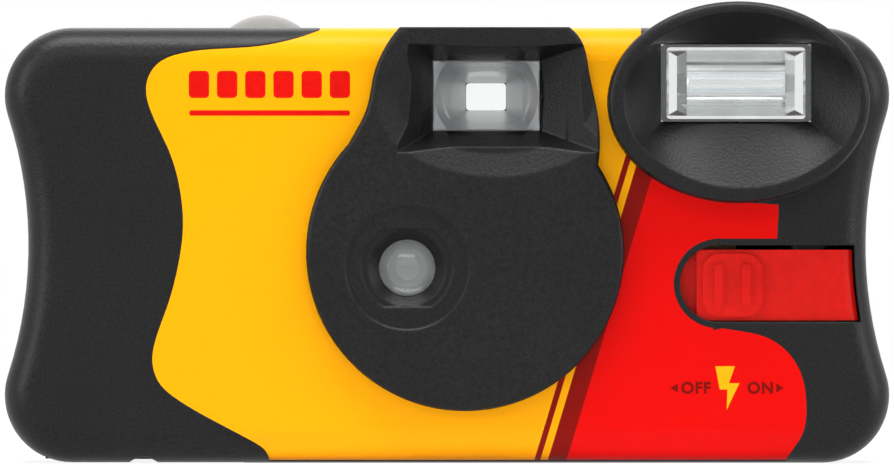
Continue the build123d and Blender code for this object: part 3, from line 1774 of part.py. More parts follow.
def make_battery_contact_bottom():
    low = wall + fit_gap
    half = contact_half_width + contact_thickness
    contact = block(
        battery_x - half, battery_x + half, battery_y - half, battery_y + half, low, low + contact_thickness
    )
    wound = coil(contact_half_width, contact_spring_turns, contact_spring_pitch)
    return contact + Pos(battery_x, battery_y, low + contact_thickness + pivot_play) * wound


if __name__ == "__main__":
    os.makedirs("parts", exist_ok=True)
    outer = body_envelope(0)
    inner = body_envelope(wall)
    skin = body_envelope(label_thickness)
    front_label = make_front_label(outer, skin)
    back_label = make_back_label(outer, skin)
    export_step(front_label, "parts/front_label.step")
    export_step(back_label, "parts/back_label.step")
    export_step(make_front_cover(outer, inner, front_label), "parts/front_cover.step")
    export_step(make_back_cover(outer, inner, back_label), "parts/back_cover.step")
    export_step(make_film_door(), "parts/film_door.step")
    export_step(make_main_frame(), "parts/main_frame.step")
    export_step(make_light_baffle(), "parts/light_baffle.step")
    export_step(make_lens_holder(), "parts/lens_holder.step")
    export_step(make_front_lens(), "parts/front_lens.step")
    export_step(make_aperture_stop(), "parts/aperture_stop.step")
    export_step(make_rear_lens(), "parts/rear_lens.step")
    export_step(make_shutter_blade(), "parts/shutter_blade.step")
    export_step(make_blade_spring(), "parts/blade_spring.step")
    export_step(make_drive_lever(), "parts/drive_lever.step")
    export_step(make_drive_spring(), "parts/drive_spring.step")
    export_step(make_release_lever(), "parts/release_lever.step")
    export_step(make_shutter_button(), "parts/shutter_button.step")
    export_step(make_button_spring(), "parts/button_spring.step")
    export_step(make_advance_wheel(), "parts/advance_wheel.step")
    export_step(make_anti_reverse_pawl(), "parts/anti_reverse_pawl.step")
    export_step(make_cartridge_shell(), "parts/cartridge_shell.step")
    export_step(make_cartridge_caps(), "parts/cartridge_caps.step")
    export_step(make_cartridge_spool(), "parts/cartridge_spool.step")
    export_step(make_film_strip(), "parts/film_strip.step")
    export_step(make_supply_spool(), "parts/supply_spool.step")
    export_step(make_film_roll(), "parts/film_roll.step")
    export_step(make_film_sprocket(), "parts/film_sprocket.step")
    export_step(make_counter_disc(), "parts/counter_disc.step")
    export_step(make_counter_window(), "parts/counter_window.step")
    export_step(make_viewfinder_front_lens(), "parts/viewfinder_front_lens.step")
    export_step(make_viewfinder_rear_lens(), "parts/viewfinder_rear_lens.step")
    export_step(make_viewfinder_tunnel(), "parts/viewfinder_tunnel.step")
    export_step(make_flash_lens(), "parts/flash_lens.step")
    export_step(make_flash_reflector(), "parts/flash_reflector.step")
    export_step(make_flash_tube(), "parts/flash_tube.step")
    export_step(make_circuit_board(), "parts/circuit_board.step")
    export_step(make_circuit_chips(), "parts/circuit_chips.step")
    export_step(make_flash_capacitor(), "parts/flash_capacitor.step")
    export_step(make_transformer(), "parts/transformer.step")
    export_step(make_ready_lamp(), "parts/ready_lamp.step")
    export_step(make_ready_light_pipe(), "parts/ready_light_pipe.step")
    export_step(make_switch_contact(), "parts/switch_contact.step")
    export_step(make_trigger_contact(), "parts/trigger_contact.step")
    export_step(make_flash_switch(), "parts/flash_switch.step")
    export_step(make_battery(), "parts/battery.step")
    export_step(make_battery_contact_top(), "parts/battery_contact_top.step")
    export_step(make_battery_contact_bottom(), "parts/battery_contact_bottom.step")
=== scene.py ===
import math

import bmesh
import bpy
from mathutils import Matrix, Vector


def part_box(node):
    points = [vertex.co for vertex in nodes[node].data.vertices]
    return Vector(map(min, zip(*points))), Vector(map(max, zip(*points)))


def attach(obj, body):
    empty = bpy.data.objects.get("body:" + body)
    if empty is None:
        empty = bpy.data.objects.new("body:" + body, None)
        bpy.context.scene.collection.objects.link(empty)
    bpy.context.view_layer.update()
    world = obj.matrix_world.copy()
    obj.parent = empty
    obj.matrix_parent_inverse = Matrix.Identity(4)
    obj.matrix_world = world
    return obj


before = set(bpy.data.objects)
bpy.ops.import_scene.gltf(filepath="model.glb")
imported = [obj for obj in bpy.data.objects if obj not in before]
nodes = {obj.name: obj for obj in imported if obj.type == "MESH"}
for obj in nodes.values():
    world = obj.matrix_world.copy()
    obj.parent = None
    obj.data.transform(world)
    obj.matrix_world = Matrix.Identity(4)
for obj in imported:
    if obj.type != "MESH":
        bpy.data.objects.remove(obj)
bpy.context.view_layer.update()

MM = 0.001

# The body's front face, where the label lies, and how far a print stands off it, in millimetres.
LABEL_Y = -15.5
PRINT_RAISE = 0.02

# The label's colours, its slanted bands with the place where each starts, and their lean.
LABEL_YELLOW = "#FFAE00"
LABEL_DARK_RED = "#860A02"
LABEL_RED = "#E00300"
BANDS = ((11.5, LABEL_DARK_RED), (12.3, LABEL_YELLOW), (13.3, LABEL_DARK_RED), (15.8, LABEL_RED))
BAND_LEAN = -0.30
LABEL_PATCH_MM = 9

# The prints: a film perforation with its round corners, the rule under a row of them, and lettering.
PERFORATION = (2.7, 3.6, 0.55)
PERFORATIONS = 6
RULE_HEIGHT = 0.7
RULE_ROUND = 0.3
LETTER_SIZE = 2.1
LETTER_WEIGHT = 0.08
LETTER_SPACING = 1.12
LETTER_LEVEL = 9.95

# The viewfinder's round lens, and the half sides of the square that it is cut to.
EYE_X = 5.25
EYE_Z = 48.95
EYE_RADIUS = 6.9
EYE_HALF_WIDTH = 6.95
EYE_HALF_HEIGHT = 4.5
EYE_BULGE = 0.9
ARC_STEPS = 8

# The flash window: its gasket, and the prisms behind it with their places across the window and depths.
GASKET = 0.75
GASKET_ROUND = 0.5
GASKET_PROUD = 0.04
PRISM_FOOT_DEPTH = 0.3
PRISM_SIDE_CLEAR = 0.3
PRISM_LEVEL_CLEAR = 1.0
CENTRE_PRISM_DEPTH = 1.1
CENTRE_PRISM_HALF = 0.55
SIDE_PRISM_DEPTH = 1.4
SIDE_PRISM_RIDGE = 1.1
SIDE_PRISM_WIDTH = 2.4
PRISM_GAP = 2.6

# The exposure counter: every second number round the disc.
COUNTER_MARKS = 14
COUNTER_STEP = 2
COUNTER_FIGURE = 1.5
COUNTER_RADIUS = 4.6

# The studio: strength of the world as light and as background, the floor, and the camera. The photograph is
# taken square on from the front, and its frame is 118.9 mm wide at the body's face.
WORLD_LIGHT = 0.19
WORLD_SEEN = 1.0
FLOOR_HALF = 0.6
FLOOR_DROP = 0.1
FLOOR_GLOW = 1.1
FLOOR_GLOW_SHARE = 0.8
FRAME_WIDTH = 0.11893
CAMERA_DISTANCE = 1.6
CAMERA_LEVEL = 30.5
SENSOR = 36.0
LAMP_AIM = (0, 0, 0.03)


def linear(code, alpha=1.0):
    """An sRGB hex colour as linear values."""
    parts = [int(code[i : i + 2], 16) / 255 for i in (1, 3, 5)]
    return [p / 12.92 if p <= 0.04045 else ((p + 0.055) / 1.055) ** 2.4 for p in parts] + [alpha]


def add(tree, kind, settings=None, inputs=None, links=None):
    """One shader node with its settings, its input values and its incoming links."""
    node = tree.nodes.new(kind)
    for key, value in (settings or {}).items():
        setattr(node, key, value)
    for key, value in (inputs or {}).items():
        node.inputs[key].default_value = value
    for key, (source, output) in (links or {}).items():
        tree.links.new(source.outputs[output], node.inputs[key])
    return node


def finish_of(name, surface):
    """A new material with an empty tree, a place coordinate and a Principled surface."""
    material = bpy.data.materials.new(name)
    material.use_nodes = True
    tree = material.node_tree
    tree.nodes.clear()
    place = add(tree, "ShaderNodeTexCoord")
    shader = add(tree, "ShaderNodeBsdfPrincipled", inputs=surface)
    add(tree, "ShaderNodeOutputMaterial", links={"Surface": (shader, "BSDF")})
    return material, tree, place, shader


def vary(tree, place, shader, light, dark, patch_mm, dark_end=0.35, light_start=0.65):
    """Slow change of colour between two close tones, in patches of a real size."""
    cloud = add(tree, "ShaderNodeTexNoise", inputs={"Scale": 1 / (patch_mm * MM), "Detail": 3.0},
                links={"Vector": (place, "Object")})
    ramp = add(tree, "ShaderNodeValToRGB", links={"Fac": (cloud, "Fac")})
    ramp.color_ramp.elements[0].position = dark_end
    ramp.color_ramp.elements[0].color = linear(dark)
    ramp.color_ramp.elements[1].position = light_start
    ramp.color_ramp.elements[1].color = linear(light)
    tree.links.new(ramp.outputs["Color"], shader.inputs["Base Color"])
    return ramp


def grain(tree, place, shader, grain_mm, height_mm, strength, stretch=(1, 1, 1)):
    """A fine relief whose bumps are grain_mm apart."""
    way = add(tree, "ShaderNodeMapping", inputs={"Scale": stretch}, links={"Vector": (place, "Object")})
    bumps = add(tree, "ShaderNodeTexNoise", inputs={"Scale": 1 / (grain_mm * MM), "Detail": 2.0},
                links={"Vector": (way, "Vector")})
    relief = add(tree, "ShaderNodeBump", inputs={"Strength": strength, "Distance": height_mm * MM},
                 links={"Height": (bumps, "Fac")})
    tree.links.new(relief.outputs["Normal"], shader.inputs["Normal"])
    return bumps


def uneven_gloss(tree, source, shader, low, high):
    """Roughness that follows a pattern between two values."""
    spread = add(tree, "ShaderNodeMapRange", inputs={"To Min": low, "To Max": high},
                 links={"Value": (source, "Fac")})
    tree.links.new(spread.outputs["Result"], shader.inputs["Roughness"])


def moulded(name, light, dark, rough, grain_mm=0.5, height_mm=0.03, strength=0.2, sheen=0.25, speckle=0.06,
            edge_mm=0.0):
    """Injection-moulded plastic: two close tones, and a spark-eroded grain that also speckles the tone and
    varies the gloss. With an edge_mm, its sharp edges are eased by that much and catch the light."""
    surface = {"Roughness": rough, "IOR": 1.5, "Specular IOR Level": sheen}
    material, tree, place, shader = finish_of(name, surface)
    ramp = vary(tree, place, shader, light, dark, patch_mm=18)
    bumps = grain(tree, place, shader, grain_mm, height_mm, strength)
    span = {"From Min": 0.3, "From Max": 0.7, "To Min": 1 - speckle, "To Max": 1 + speckle}
    tone = add(tree, "ShaderNodeMapRange", inputs=span, links={"Value": (bumps, "Fac")})
    spotted = add(tree, "ShaderNodeVectorMath", {"operation": "SCALE"}, links={"Scale": (tone, "Result")})
    tree.links.new(ramp.outputs["Color"], spotted.inputs[0])
    tree.links.new(spotted.outputs["Vector"], shader.inputs["Base Color"])
    uneven_gloss(tree, bumps, shader, low=rough - 0.06, high=rough + 0.08)
    if edge_mm:
        eased = add(tree, "ShaderNodeBevel", {"samples": 8}, {"Radius": edge_mm * MM})
        relief = shader.inputs["Normal"].links[0].from_node
        tree.links.new(eased.outputs["Normal"], relief.inputs["Normal"])
    return material


def sheet_metal(name, light, dark, rough, stretch=(1, 1, 12), **more):
    """Rolled or drawn metal, with faint drawing lines along one way."""
    surface = {"Metallic": 1.0, "Roughness": rough}
    surface.update(more)
    material, tree, place, shader = finish_of(name, surface)
    vary(tree, place, shader, light, dark, patch_mm=6)
    lines = grain(tree, place, shader, grain_mm=1.2, height_mm=0.01, strength=0.12, stretch=stretch)
    uneven_gloss(tree, lines, shader, low=rough - 0.05, high=rough + 0.06)
    return material


def clear(name, tint, rough=0.02, ior=1.49, through=1.0, sheen=0.5):
    """Clear moulded acrylic or glass, polished, with the faintest flow marks."""
    surface = {"Base Color": linear(tint), "Roughness": rough, "IOR": ior, "Transmission Weight": through,
               "Specular IOR Level": sheen}
    material, tree, place, shader = finish_of(name, surface)
    grain(tree, place, shader, grain_mm=3.0, height_mm=0.004, strength=0.05)
    return material


def banded_print(name):
    """The label: printed polypropylene film. Yellow on the left and red on the right, parted by straight
    slanted bands in dark red, under a satin varnish."""
    varnish = {"Roughness": 0.34, "IOR": 1.5, "Specular IOR Level": 0.1}
    material, tree, place, shader = finish_of(name, varnish)
    where = add(tree, "ShaderNodeSeparateXYZ", links={"Vector": (place, "Object")})
    lean = add(tree, "ShaderNodeMath", {"operation": "MULTIPLY"}, {1: BAND_LEAN}, {0: (where, "Z")})
    across = add(tree, "ShaderNodeMath", {"operation": "ADD"}, links={0: (where, "X"), 1: (lean, "Value")})
    millimetres = add(tree, "ShaderNodeMath", {"operation": "MULTIPLY"}, {1: 1 / MM},
                      {0: (across, "Value")})
    colour = None
    # Right of each start, measured along the base from the body's middle, the band's colour takes over.
    for start, code in BANDS:
        past = add(tree, "ShaderNodeMath", {"operation": "GREATER_THAN"}, {1: start},
                   {0: (millimetres, "Value")})
        mix = add(tree, "ShaderNodeMix", {"data_type": "RGBA"}, {6: linear(LABEL_YELLOW), 7: linear(code)},
                  {"Factor": (past, "Value")})
        if colour:
            tree.links.new(colour.outputs[2], mix.inputs[6])
        colour = mix
    tone = add(tree, "ShaderNodeTexNoise", inputs={"Scale": 1 / (LABEL_PATCH_MM * MM)},
               links={"Vector": (place, "Object")})
    shade = add(tree, "ShaderNodeMapRange", inputs={"To Min": 0.96, "To Max": 1.0},
                links={"Value": (tone, "Fac")})
    inked = add(tree, "ShaderNodeVectorMath", {"operation": "SCALE"}, links={"Scale": (shade, "Result")})
    tree.links.new(colour.outputs[2], inked.inputs[0])
    tree.links.new(inked.outputs["Vector"], shader.inputs["Base Color"])
    # The film lies over the cover's grain and shows it a little.
    bumps = grain(tree, place, shader, grain_mm=0.9, height_mm=0.015, strength=0.12)
    uneven_gloss(tree, bumps, shader, low=0.30, high=0.40)
    return material


# Black ABS from a spark-eroded mould: satin, with a very fine grain, drawn coarser than the real 0.2 mm so
# that it shows.
black_abs = moulded("black_grained_abs", "#151515", "#111112",
                    rough=0.36, grain_mm=0.36, height_mm=0.07, strength=0.6, sheen=0.22, speckle=0.6,
                    edge_mm=0.5)
# Black polystyrene of the inner frame: plainer, and a little glossier where the mould was polished.
frame_styrene = moulded("black_polystyrene", "#232324", "#1D1D1E",
                        rough=0.4, grain_mm=0.9, height_mm=0.02, strength=0.2)
# The thumb wheel's black acetal, slightly waxy.
wheel_acetal = moulded("black_acetal", "#2B2B2C", "#252526",
                       rough=0.38, grain_mm=0.7, height_mm=0.02, strength=0.2)
# Grey polystyrene of the viewfinder's inner walls, left as moulded.
tunnel_grey = moulded("grey_polystyrene", "#CFD0D3", "#C3C4C7",
                      rough=0.3, grain_mm=0.9, height_mm=0.02, strength=0.15, sheen=0.5)
# Red polystyrene of the flash slider: bright, smooth and a little waxy.
slider_red = moulded("red_polystyrene", "#D8180E", "#CC120A",
                     rough=0.36, grain_mm=0.8, height_mm=0.015, strength=0.15, sheen=0.15)
# Pale grey ABS of the release button.
button_grey = moulded("pale_grey_abs", "#888683", "#807E7B",
                      rough=0.42, grain_mm=0.5, height_mm=0.02, strength=0.2)
# White acetal of the small levers, sprocket and counter.
lever_white = moulded("white_acetal", "#E6E4DE", "#DCDAD3",
                      rough=0.4, grain_mm=0.8, height_mm=0.015, strength=0.15)
# Phenolic paper board: tan, with faint fibres.
board_tan = moulded("phenolic_board", "#A9824C", "#967041",
                    rough=0.55, grain_mm=0.6, height_mm=0.02, strength=0.3)
# Shrink sleeve of the capacitor and the small parts.
sleeve_black = moulded("shrink_sleeve", "#1C1C20", "#161619",
                       rough=0.28, grain_mm=1.4, height_mm=0.02, strength=0.15)
# Brown ferrite with taped winding.
ferrite_brown = moulded("taped_ferrite", "#4A3B2D", "#3B2F25",
                        rough=0.6, grain_mm=0.8, height_mm=0.05, strength=0.4)
# Acetate film base with dry emulsion: brown and satin.
film_brown = moulded("film_base", "#5A4334", "#4E3A2D",
                     rough=0.3, grain_mm=2.0, height_mm=0.005, strength=0.1)
# Drawn spring wire, nickel-plated contacts, and the blackened steel of the cartridge caps.
spring_wire = sheet_metal("spring_wire", "#B9B7B2", "#A5A39E", rough=0.28)
contact_nickel = sheet_metal("nickel_plate", "#CFCAC0", "#BDB8AE", rough=0.25)
black_steel = sheet_metal("blackened_steel", "#2A2B2D", "#1F2022", rough=0.42)
# Bare aluminium of the aperture stop, dulled by its own fine blasting.
stop_alloy = sheet_metal("blasted_aluminium", "#8F9191", "#838585", rough=0.45, stretch=(1, 1, 1))
# Bright rolled steel of the shutter blade.
blade_steel = sheet_metal("rolled_steel", "#B4B6B8", "#A6A8AA", rough=0.4)
# Lacquered tinplate of the film cartridge, and the cell's printed jacket.
cartridge_lacquer = sheet_metal("lacquered_tinplate", "#3E7A4C", "#356B42", rough=0.34, Metallic=0.35)
cell_jacket = sheet_metal("printed_cell_jacket", "#2C4E86", "#254477", rough=0.3, Metallic=0.4)
# Vacuum-metallised reflector: a bright soft mirror.
mirror_foil = sheet_metal("metallised_reflector", "#F4F4F2", "#E6E6E4", rough=0.12)
lens_acrylic = clear("lens_acrylic", "#F2F4F2", sheen=1.0)
window_acrylic = clear("window_acrylic", "#FAFBFB")
frosted_acrylic = clear("frosted_acrylic", "#DDE0E3", rough=0.55, through=0.35)
tube_glass = clear("tube_glass", "#F5F8FA", rough=0.05, ior=1.25)
neon_glass = clear("neon_glass", "#FFB27A", rough=0.05, ior=1.5)
# Dark grey foam of the gasket round the flash reflector.
gasket_grey = moulded("gasket_foam", "#5A5C5F", "#4E5053",
                      rough=0.5, grain_mm=0.6, height_mm=0.03, strength=0.3)
label_film = banded_print("printed_label_film")
# Screen-printed inks on the label.
ink_red = moulded("red_ink", "#DC0E05", "#D40B04",
                  rough=0.35, grain_mm=1.0, height_mm=0.01, strength=0.1, sheen=0.1)
ink_dark = moulded("dark_red_ink", "#7C0A03", "#740802",
                   rough=0.35, grain_mm=1.0, height_mm=0.01, strength=0.1, sheen=0.1)
ink_yellow = moulded("yellow_ink", "#FFB814", "#FAB00A",
                     rough=0.35, grain_mm=1.0, height_mm=0.01, strength=0.1, sheen=0.1)
ink_white = moulded("white_ink", "#E9E9E6", "#E1E1DE",
                    rough=0.4, grain_mm=1.0, height_mm=0.01, strength=0.1)
ink_black = moulded("black_ink", "#1E1E1E", "#191919",
                    rough=0.4, grain_mm=1.0, height_mm=0.01, strength=0.1)

finishes = {
    black_abs: ["front_cover", "back_cover", "film_door"],
    label_film: ["front_label", "back_label"],
    frame_styrene: ["main_frame", "light_baffle", "lens_holder", "supply_spool", "cartridge_spool",
                    "anti_reverse_pawl"],
    wheel_acetal: ["advance_wheel"],
    tunnel_grey: ["viewfinder_tunnel"],
    slider_red: ["flash_switch"],
    button_grey: ["shutter_button"],
    lever_white: ["drive_lever", "release_lever", "film_sprocket", "counter_disc"],
    board_tan: ["circuit_board"],
    sleeve_black: ["circuit_chips", "flash_capacitor"],
    ferrite_brown: ["transformer"],
    film_brown: ["film_strip", "film_roll"],
    spring_wire: ["blade_spring", "drive_spring", "button_spring"],
    stop_alloy: ["aperture_stop"],
    contact_nickel: ["switch_contact", "trigger_contact", "battery_contact_top", "battery_contact_bottom"],
    black_steel: ["cartridge_caps"],
    blade_steel: ["shutter_blade"],
    cartridge_lacquer: ["cartridge_shell"],
    cell_jacket: ["battery"],
    mirror_foil: ["flash_reflector"],
    lens_acrylic: ["front_lens", "rear_lens"],
    window_acrylic: ["viewfinder_front_lens", "viewfinder_rear_lens", "counter_window", "flash_lens",
                     "ready_light_pipe"],
    tube_glass: ["flash_tube"],
    neon_glass: ["ready_lamp"],
}
for material, names in finishes.items():
    for name in names:
        piece = nodes[name]
        if not piece.material_slots:
            piece.data.materials.append(material)
        for slot in piece.material_slots:
            slot.material = material


def printed(name, curve, ink, x=0, z=0, y=LABEL_Y, slot="label_print", facing=0):
    """Stands a flat curve or text up against the camera's front, or against its back when facing is pi."""
    curve.extrude = PRINT_RAISE * MM
    curve.materials.append(ink)
    piece = bpy.data.objects.new(name, curve)
    bpy.context.scene.collection.objects.link(piece)
    stand = Matrix.Rotation(facing, 4, "Z") @ Matrix.Rotation(math.pi / 2, 4, "X")
    piece.matrix_world = Matrix.Translation((x * MM, y * MM, z * MM)) @ stand
    bpy.context.view_layer.update()
    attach(piece, "camera_body")


def flat_print(name, outlines, ink, **where):
    """Closed outlines in millimetres across X and Z, filled, a hair thick."""
    curve = bpy.data.curves.new(name, "CURVE")
    curve.dimensions = "2D"
    curve.fill_mode = "BOTH"
    for outline in outlines:
        spline = curve.splines.new("POLY")
        spline.points.add(len(outline) - 1)
        for point, (x, z) in zip(spline.points, outline):
            point.co = (x * MM, z * MM, 0, 1)
        spline.use_cyclic_u = True
    printed(name, curve, ink, **where)


def rounded_box(cx, cz, width, height, radius, steps=4):
    """The outline of a rectangle with round corners."""
    points = []
    for corner in range(4):
        turn = corner * math.pi / 2
        sx = 1 if corner in (0, 3) else -1
        sz = 1 if corner < 2 else -1
        for step in range(steps + 1):
            angle = turn + step / steps * math.pi / 2
            x = cx + sx * (width / 2 - radius) + radius * math.cos(angle)
            z = cz + sz * (height / 2 - radius) + radius * math.sin(angle)
            points.append((x, z))
    return points


def lettering(name, words, x, ink):
    """Generic switch lettering, set flat on the front."""
    text = bpy.data.curves.new(name, "FONT")
    text.body = words
    text.size = LETTER_SIZE * MM
    text.offset = LETTER_WEIGHT * MM
    text.align_x = "CENTER"
    text.align_y = "CENTER"
    text.space_character = LETTER_SPACING
    printed(name, text, ink, x, LETTER_LEVEL)


def perforation_row(place, first_x, level, pitch, rule_x, rule_level, rule_width, **where):
    """A row of film perforations, rounded squares, over a thin rule."""
    holes = [rounded_box(first_x + number * pitch, level, *PERFORATION) for number in range(PERFORATIONS)]
    flat_print("%s_perforations" % place, holes, ink_red, **where)
    flat_print("%s_rule" % place, [rounded_box(rule_x, rule_level, rule_width, RULE_HEIGHT, RULE_ROUND)],
               ink_red, **where)


# The row stands at the label's upper left, and again low on the back, where an arrow shows the wheel's way.
perforation_row("label", -33.0, 50.4, 3.75, -23.6, 46.6, 21.4)
back = {"y": -LABEL_Y, "facing": math.pi}
perforation_row("back", -9.0, 14.0, 5.0, 3.5, 10.0, 28.0, **back)
arrow = [(34.5, 47.6), (40.0, 47.6), (40.0, 46.8), (42.0, 48.0), (40.0, 49.2), (40.0, 48.4), (34.5, 48.4)]
flat_print("wheel_arrow", [arrow], ink_white, slot="white_plastic", **back)

# The flash marks beside the switch: a bolt, two words and two arrow heads.
bolt = [(35.7, 12.9), (38.3, 12.9), (37.5, 10.65), (38.9, 10.65), (37.2, 7.1), (37.3, 9.8), (36.3, 9.8)]
flat_print("flash_bolt_mark", [bolt], ink_yellow)
lettering("off_mark", "OFF", 33.1, ink_dark)
lettering("on_mark", "ON", 41.7, ink_dark)
flat_print("off_arrow", [[(30.7, 10.6), (29.7, 10.0), (30.7, 9.4)]], ink_dark)
flat_print("on_arrow", [[(43.8, 10.6), (43.8, 9.4), (44.8, 10.0)]], ink_dark)

# The viewfinder's lens is round, cut square: its four corners stay flat, and are frosted.
corners = []
for side in (-1, 1):
    for level in (-1, 1):
        start = math.asin(EYE_HALF_HEIGHT / EYE_RADIUS)
        rim = []
        for step in range(ARC_STEPS + 1):
            turn = start * (1 - step / ARC_STEPS)
            out = side * EYE_RADIUS * math.cos(turn)
            up = level * EYE_RADIUS * math.sin(turn)
            rim.append((EYE_X + out, EYE_Z + up))
        rim.append((EYE_X + side * EYE_HALF_WIDTH, EYE_Z))
        rim.append((EYE_X + side * EYE_HALF_WIDTH, EYE_Z + level * EYE_HALF_HEIGHT))
        corners.append(rim)
eye_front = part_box("viewfinder_front_lens")[0].y / MM + EYE_BULGE
flat_print("finder_lens_corners", corners, frosted_acrylic, y=eye_front, slot="clear_plastic")

# Behind the flash window: a dark gasket over the reflector's edge, and clear prisms that spread the light.
low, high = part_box("flash_reflector")
flash_x = (low.x + high.x) / 2 / MM
flash_z = (low.z + high.z) / 2 / MM
mouth_width = (high.x - low.x) / MM
mouth_height = (high.z - low.z) / MM
gasket = [rounded_box(flash_x, flash_z, mouth_width, mouth_height, GASKET_ROUND),
          rounded_box(flash_x, flash_z, mouth_width - 2 * GASKET, mouth_height - GASKET, GASKET_ROUND)]
flat_print("flash_gasket", gasket, gasket_grey, y=low.y / MM - GASKET_PROUD, slot="frame_plastic")


def prism(name, ridge, foot_a, foot_b, start, end, along):
    """A triangular bar of clear acrylic between two ends along X or Z, in millimetres; the corners give the
    place across the bar and the depth behind the window."""
    mesh = bpy.data.meshes.new(name)
    work = bmesh.new()
    rings = []
    for place in (start, end):
        ring = []
        for across, depth in (ridge, foot_a, foot_b):
            x, z = (place, across) if along == "X" else (across, place)
            ring.append(work.verts.new((x * MM, low.y + depth * MM, z * MM)))
        rings.append(ring)
    work.faces.new(rings[0])
    work.faces.new(rings[1][::-1])
    for corner in range(3):
        other = (corner + 1) % 3
        work.faces.new((rings[0][corner], rings[1][corner], rings[1][other], rings[0][other]))
    bmesh.ops.recalc_face_normals(work, faces=work.faces)
    work.to_mesh(mesh)
    work.free()
    mesh.materials.append(window_acrylic)
    piece = bpy.data.objects.new(name, mesh)
    bpy.context.scene.collection.objects.link(piece)
    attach(piece, "camera_body")


half_run = mouth_width / 2 - GASKET - PRISM_SIDE_CLEAR
half_rise = mouth_height / 2 - PRISM_LEVEL_CLEAR
prism("flash_centre_prism", (flash_z, CENTRE_PRISM_DEPTH), (flash_z - CENTRE_PRISM_HALF, PRISM_FOOT_DEPTH),
      (flash_z + CENTRE_PRISM_HALF, PRISM_FOOT_DEPTH), flash_x - half_run + PRISM_GAP,
      flash_x + half_run - PRISM_GAP, "X")
for side, name in ((-1, "left"), (1, "right")):
    outer = flash_x + side * half_run
    prism("flash_%s_prism" % name, (outer - side * SIDE_PRISM_RIDGE, SIDE_PRISM_DEPTH),
          (outer, PRISM_FOOT_DEPTH), (outer - side * SIDE_PRISM_WIDTH, PRISM_FOOT_DEPTH),
          flash_z - half_rise, flash_z + half_rise, "Z")

# Plain numbers round the exposure counter, seen through the window in the top.
low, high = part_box("counter_disc")
centre = (low + high) / 2
for number in range(COUNTER_MARKS):
    turn = number / COUNTER_MARKS * 2 * math.pi
    figure = bpy.data.curves.new("counter_number_%d" % (number * COUNTER_STEP), "FONT")
    figure.body = str(number * COUNTER_STEP)
    figure.size = COUNTER_FIGURE * MM
    figure.extrude = PRINT_RAISE * MM
    figure.align_x = "CENTER"
    figure.align_y = "CENTER"
    figure.materials.append(ink_black)
    piece = bpy.data.objects.new(figure.name, figure)
    bpy.context.scene.collection.objects.link(piece)
    out = Matrix.Translation((centre.x, centre.y, high.z)) @ Matrix.Rotation(turn, 4, "Z")
    piece.matrix_world = out @ Matrix.Translation((0, -COUNTER_RADIUS * MM, 0))
    bpy.context.view_layer.update()
    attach(piece, "counter_disc")


def area_light(name, place, aim, size, power):
    """A soft box that faces a point."""
    lamp = bpy.data.lights.new(name, "AREA")
    lamp.shape = "RECTANGLE"
    lamp.size, lamp.size_y = size
    lamp.energy = power
    box = bpy.data.objects.new(name, lamp)
    bpy.context.scene.collection.objects.link(box)
    box.location = place
    box.rotation_euler = (Vector(aim) - Vector(place)).to_track_quat("-Z", "Y").to_euler()


# Each soft box: its name, place, width and height in metres, and power in watts.
lamps = (
    ("top_softbox", (0.0, -0.16, 0.72), (0.75, 0.28), 7.0),
    ("front_softbox", (-0.05, -0.9, 0.6), (0.8, 0.16), 1.4),
    ("left_softbox", (-0.75, -0.4, 0.3), (0.3, 0.6), 2.4),
    ("right_softbox", (0.8, -0.25, 0.2), (0.3, 0.6), 2.2),
    ("back_softbox", (0.0, 0.7, 0.5), (0.8, 0.5), 1.5),
)
for name, place, size, power in lamps:
    area_light(name, place, LAMP_AIM, size, power)


def directly_seen(tree):
    """One for rays from the camera, in a reflection or through glass, and zero for rays that give light."""
    rays = add(tree, "ShaderNodeLightPath")
    mirror = add(tree, "ShaderNodeMath", {"operation": "ADD"},
                 links={0: (rays, "Is Camera Ray"), 1: (rays, "Is Glossy Ray")})
    return add(tree, "ShaderNodeMath", {"operation": "ADD", "use_clamp": True},
               links={0: (mirror, "Value"), 1: (rays, "Is Transmission Ray")})


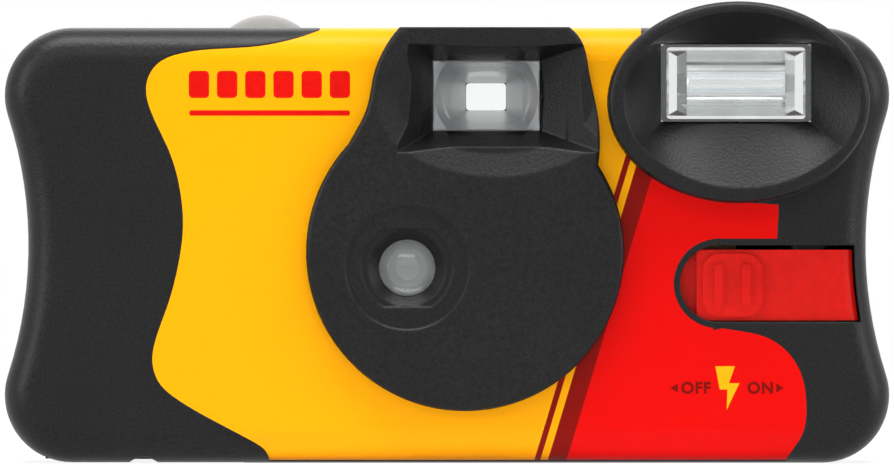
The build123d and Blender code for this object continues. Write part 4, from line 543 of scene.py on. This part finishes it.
world = bpy.data.worlds.new("studio")
world.use_nodes = True
sky = world.node_tree
sky.nodes.clear()
seen = directly_seen(sky)
level = add(sky, "ShaderNodeMapRange", inputs={"To Min": WORLD_LIGHT, "To Max": WORLD_SEEN},
            links={"Value": (seen, "Value")})
glow = add(sky, "ShaderNodeBackground", inputs={"Color": linear("#FFFFFF")},
           links={"Strength": (level, "Result")})
add(sky, "ShaderNodeOutputWorld", links={"Surface": (glow, "Background")})
bpy.context.scene.world = world

# A plain pale floor that keeps the shadow, a hair under the base.
floor_mesh = bpy.data.meshes.new("floor")
work = bmesh.new()
bmesh.ops.create_grid(work, x_segments=1, y_segments=1, size=FLOOR_HALF)
work.to_mesh(floor_mesh)
work.free()
floor = bpy.data.objects.new("floor", floor_mesh)
bpy.context.scene.collection.objects.link(floor)
floor.location.z = -FLOOR_DROP * MM
floor_look = {"Base Color": linear("#F6F6F5"), "Roughness": 0.7}
floor_paint, tree, place, shader = finish_of("pale_floor", floor_look)
# The floor glows a little to the camera, so that it meets the white behind it and keeps a soft shadow.
shine = add(tree, "ShaderNodeEmission", inputs={"Color": linear("#FFFFFF"), "Strength": FLOOR_GLOW})
share = add(tree, "ShaderNodeMath", {"operation": "MULTIPLY"}, {1: FLOOR_GLOW_SHARE},
            {0: (directly_seen(tree), "Value")})
paper = add(tree, "ShaderNodeMixShader",
            links={0: (share, "Value"), 1: (shader, "BSDF"), 2: (shine, "Emission")})
# From below it is clear, so that the base can be looked at.
side = add(tree, "ShaderNodeNewGeometry")
air = add(tree, "ShaderNodeBsdfTransparent")
sheet = add(tree, "ShaderNodeMixShader",
            links={0: (side, "Backfacing"), 1: (paper, "Shader"), 2: (air, "BSDF")})
for node in tree.nodes:
    if node.bl_idname == "ShaderNodeOutputMaterial":
        tree.links.new(sheet.outputs["Shader"], node.inputs["Surface"])
floor_mesh.materials.append(floor_paint)

camera = bpy.data.cameras.new("camera")
camera.sensor_width = SENSOR
camera.lens = SENSOR * CAMERA_DISTANCE / FRAME_WIDTH
view = bpy.data.objects.new("camera", camera)
bpy.context.scene.collection.objects.link(view)
view.location = (0.0, LABEL_Y * MM - CAMERA_DISTANCE, CAMERA_LEVEL * MM)
view.rotation_euler = (math.pi / 2, 0, 0)
bpy.context.scene.camera = view
bpy.context.scene.view_settings.view_transform = "Standard"
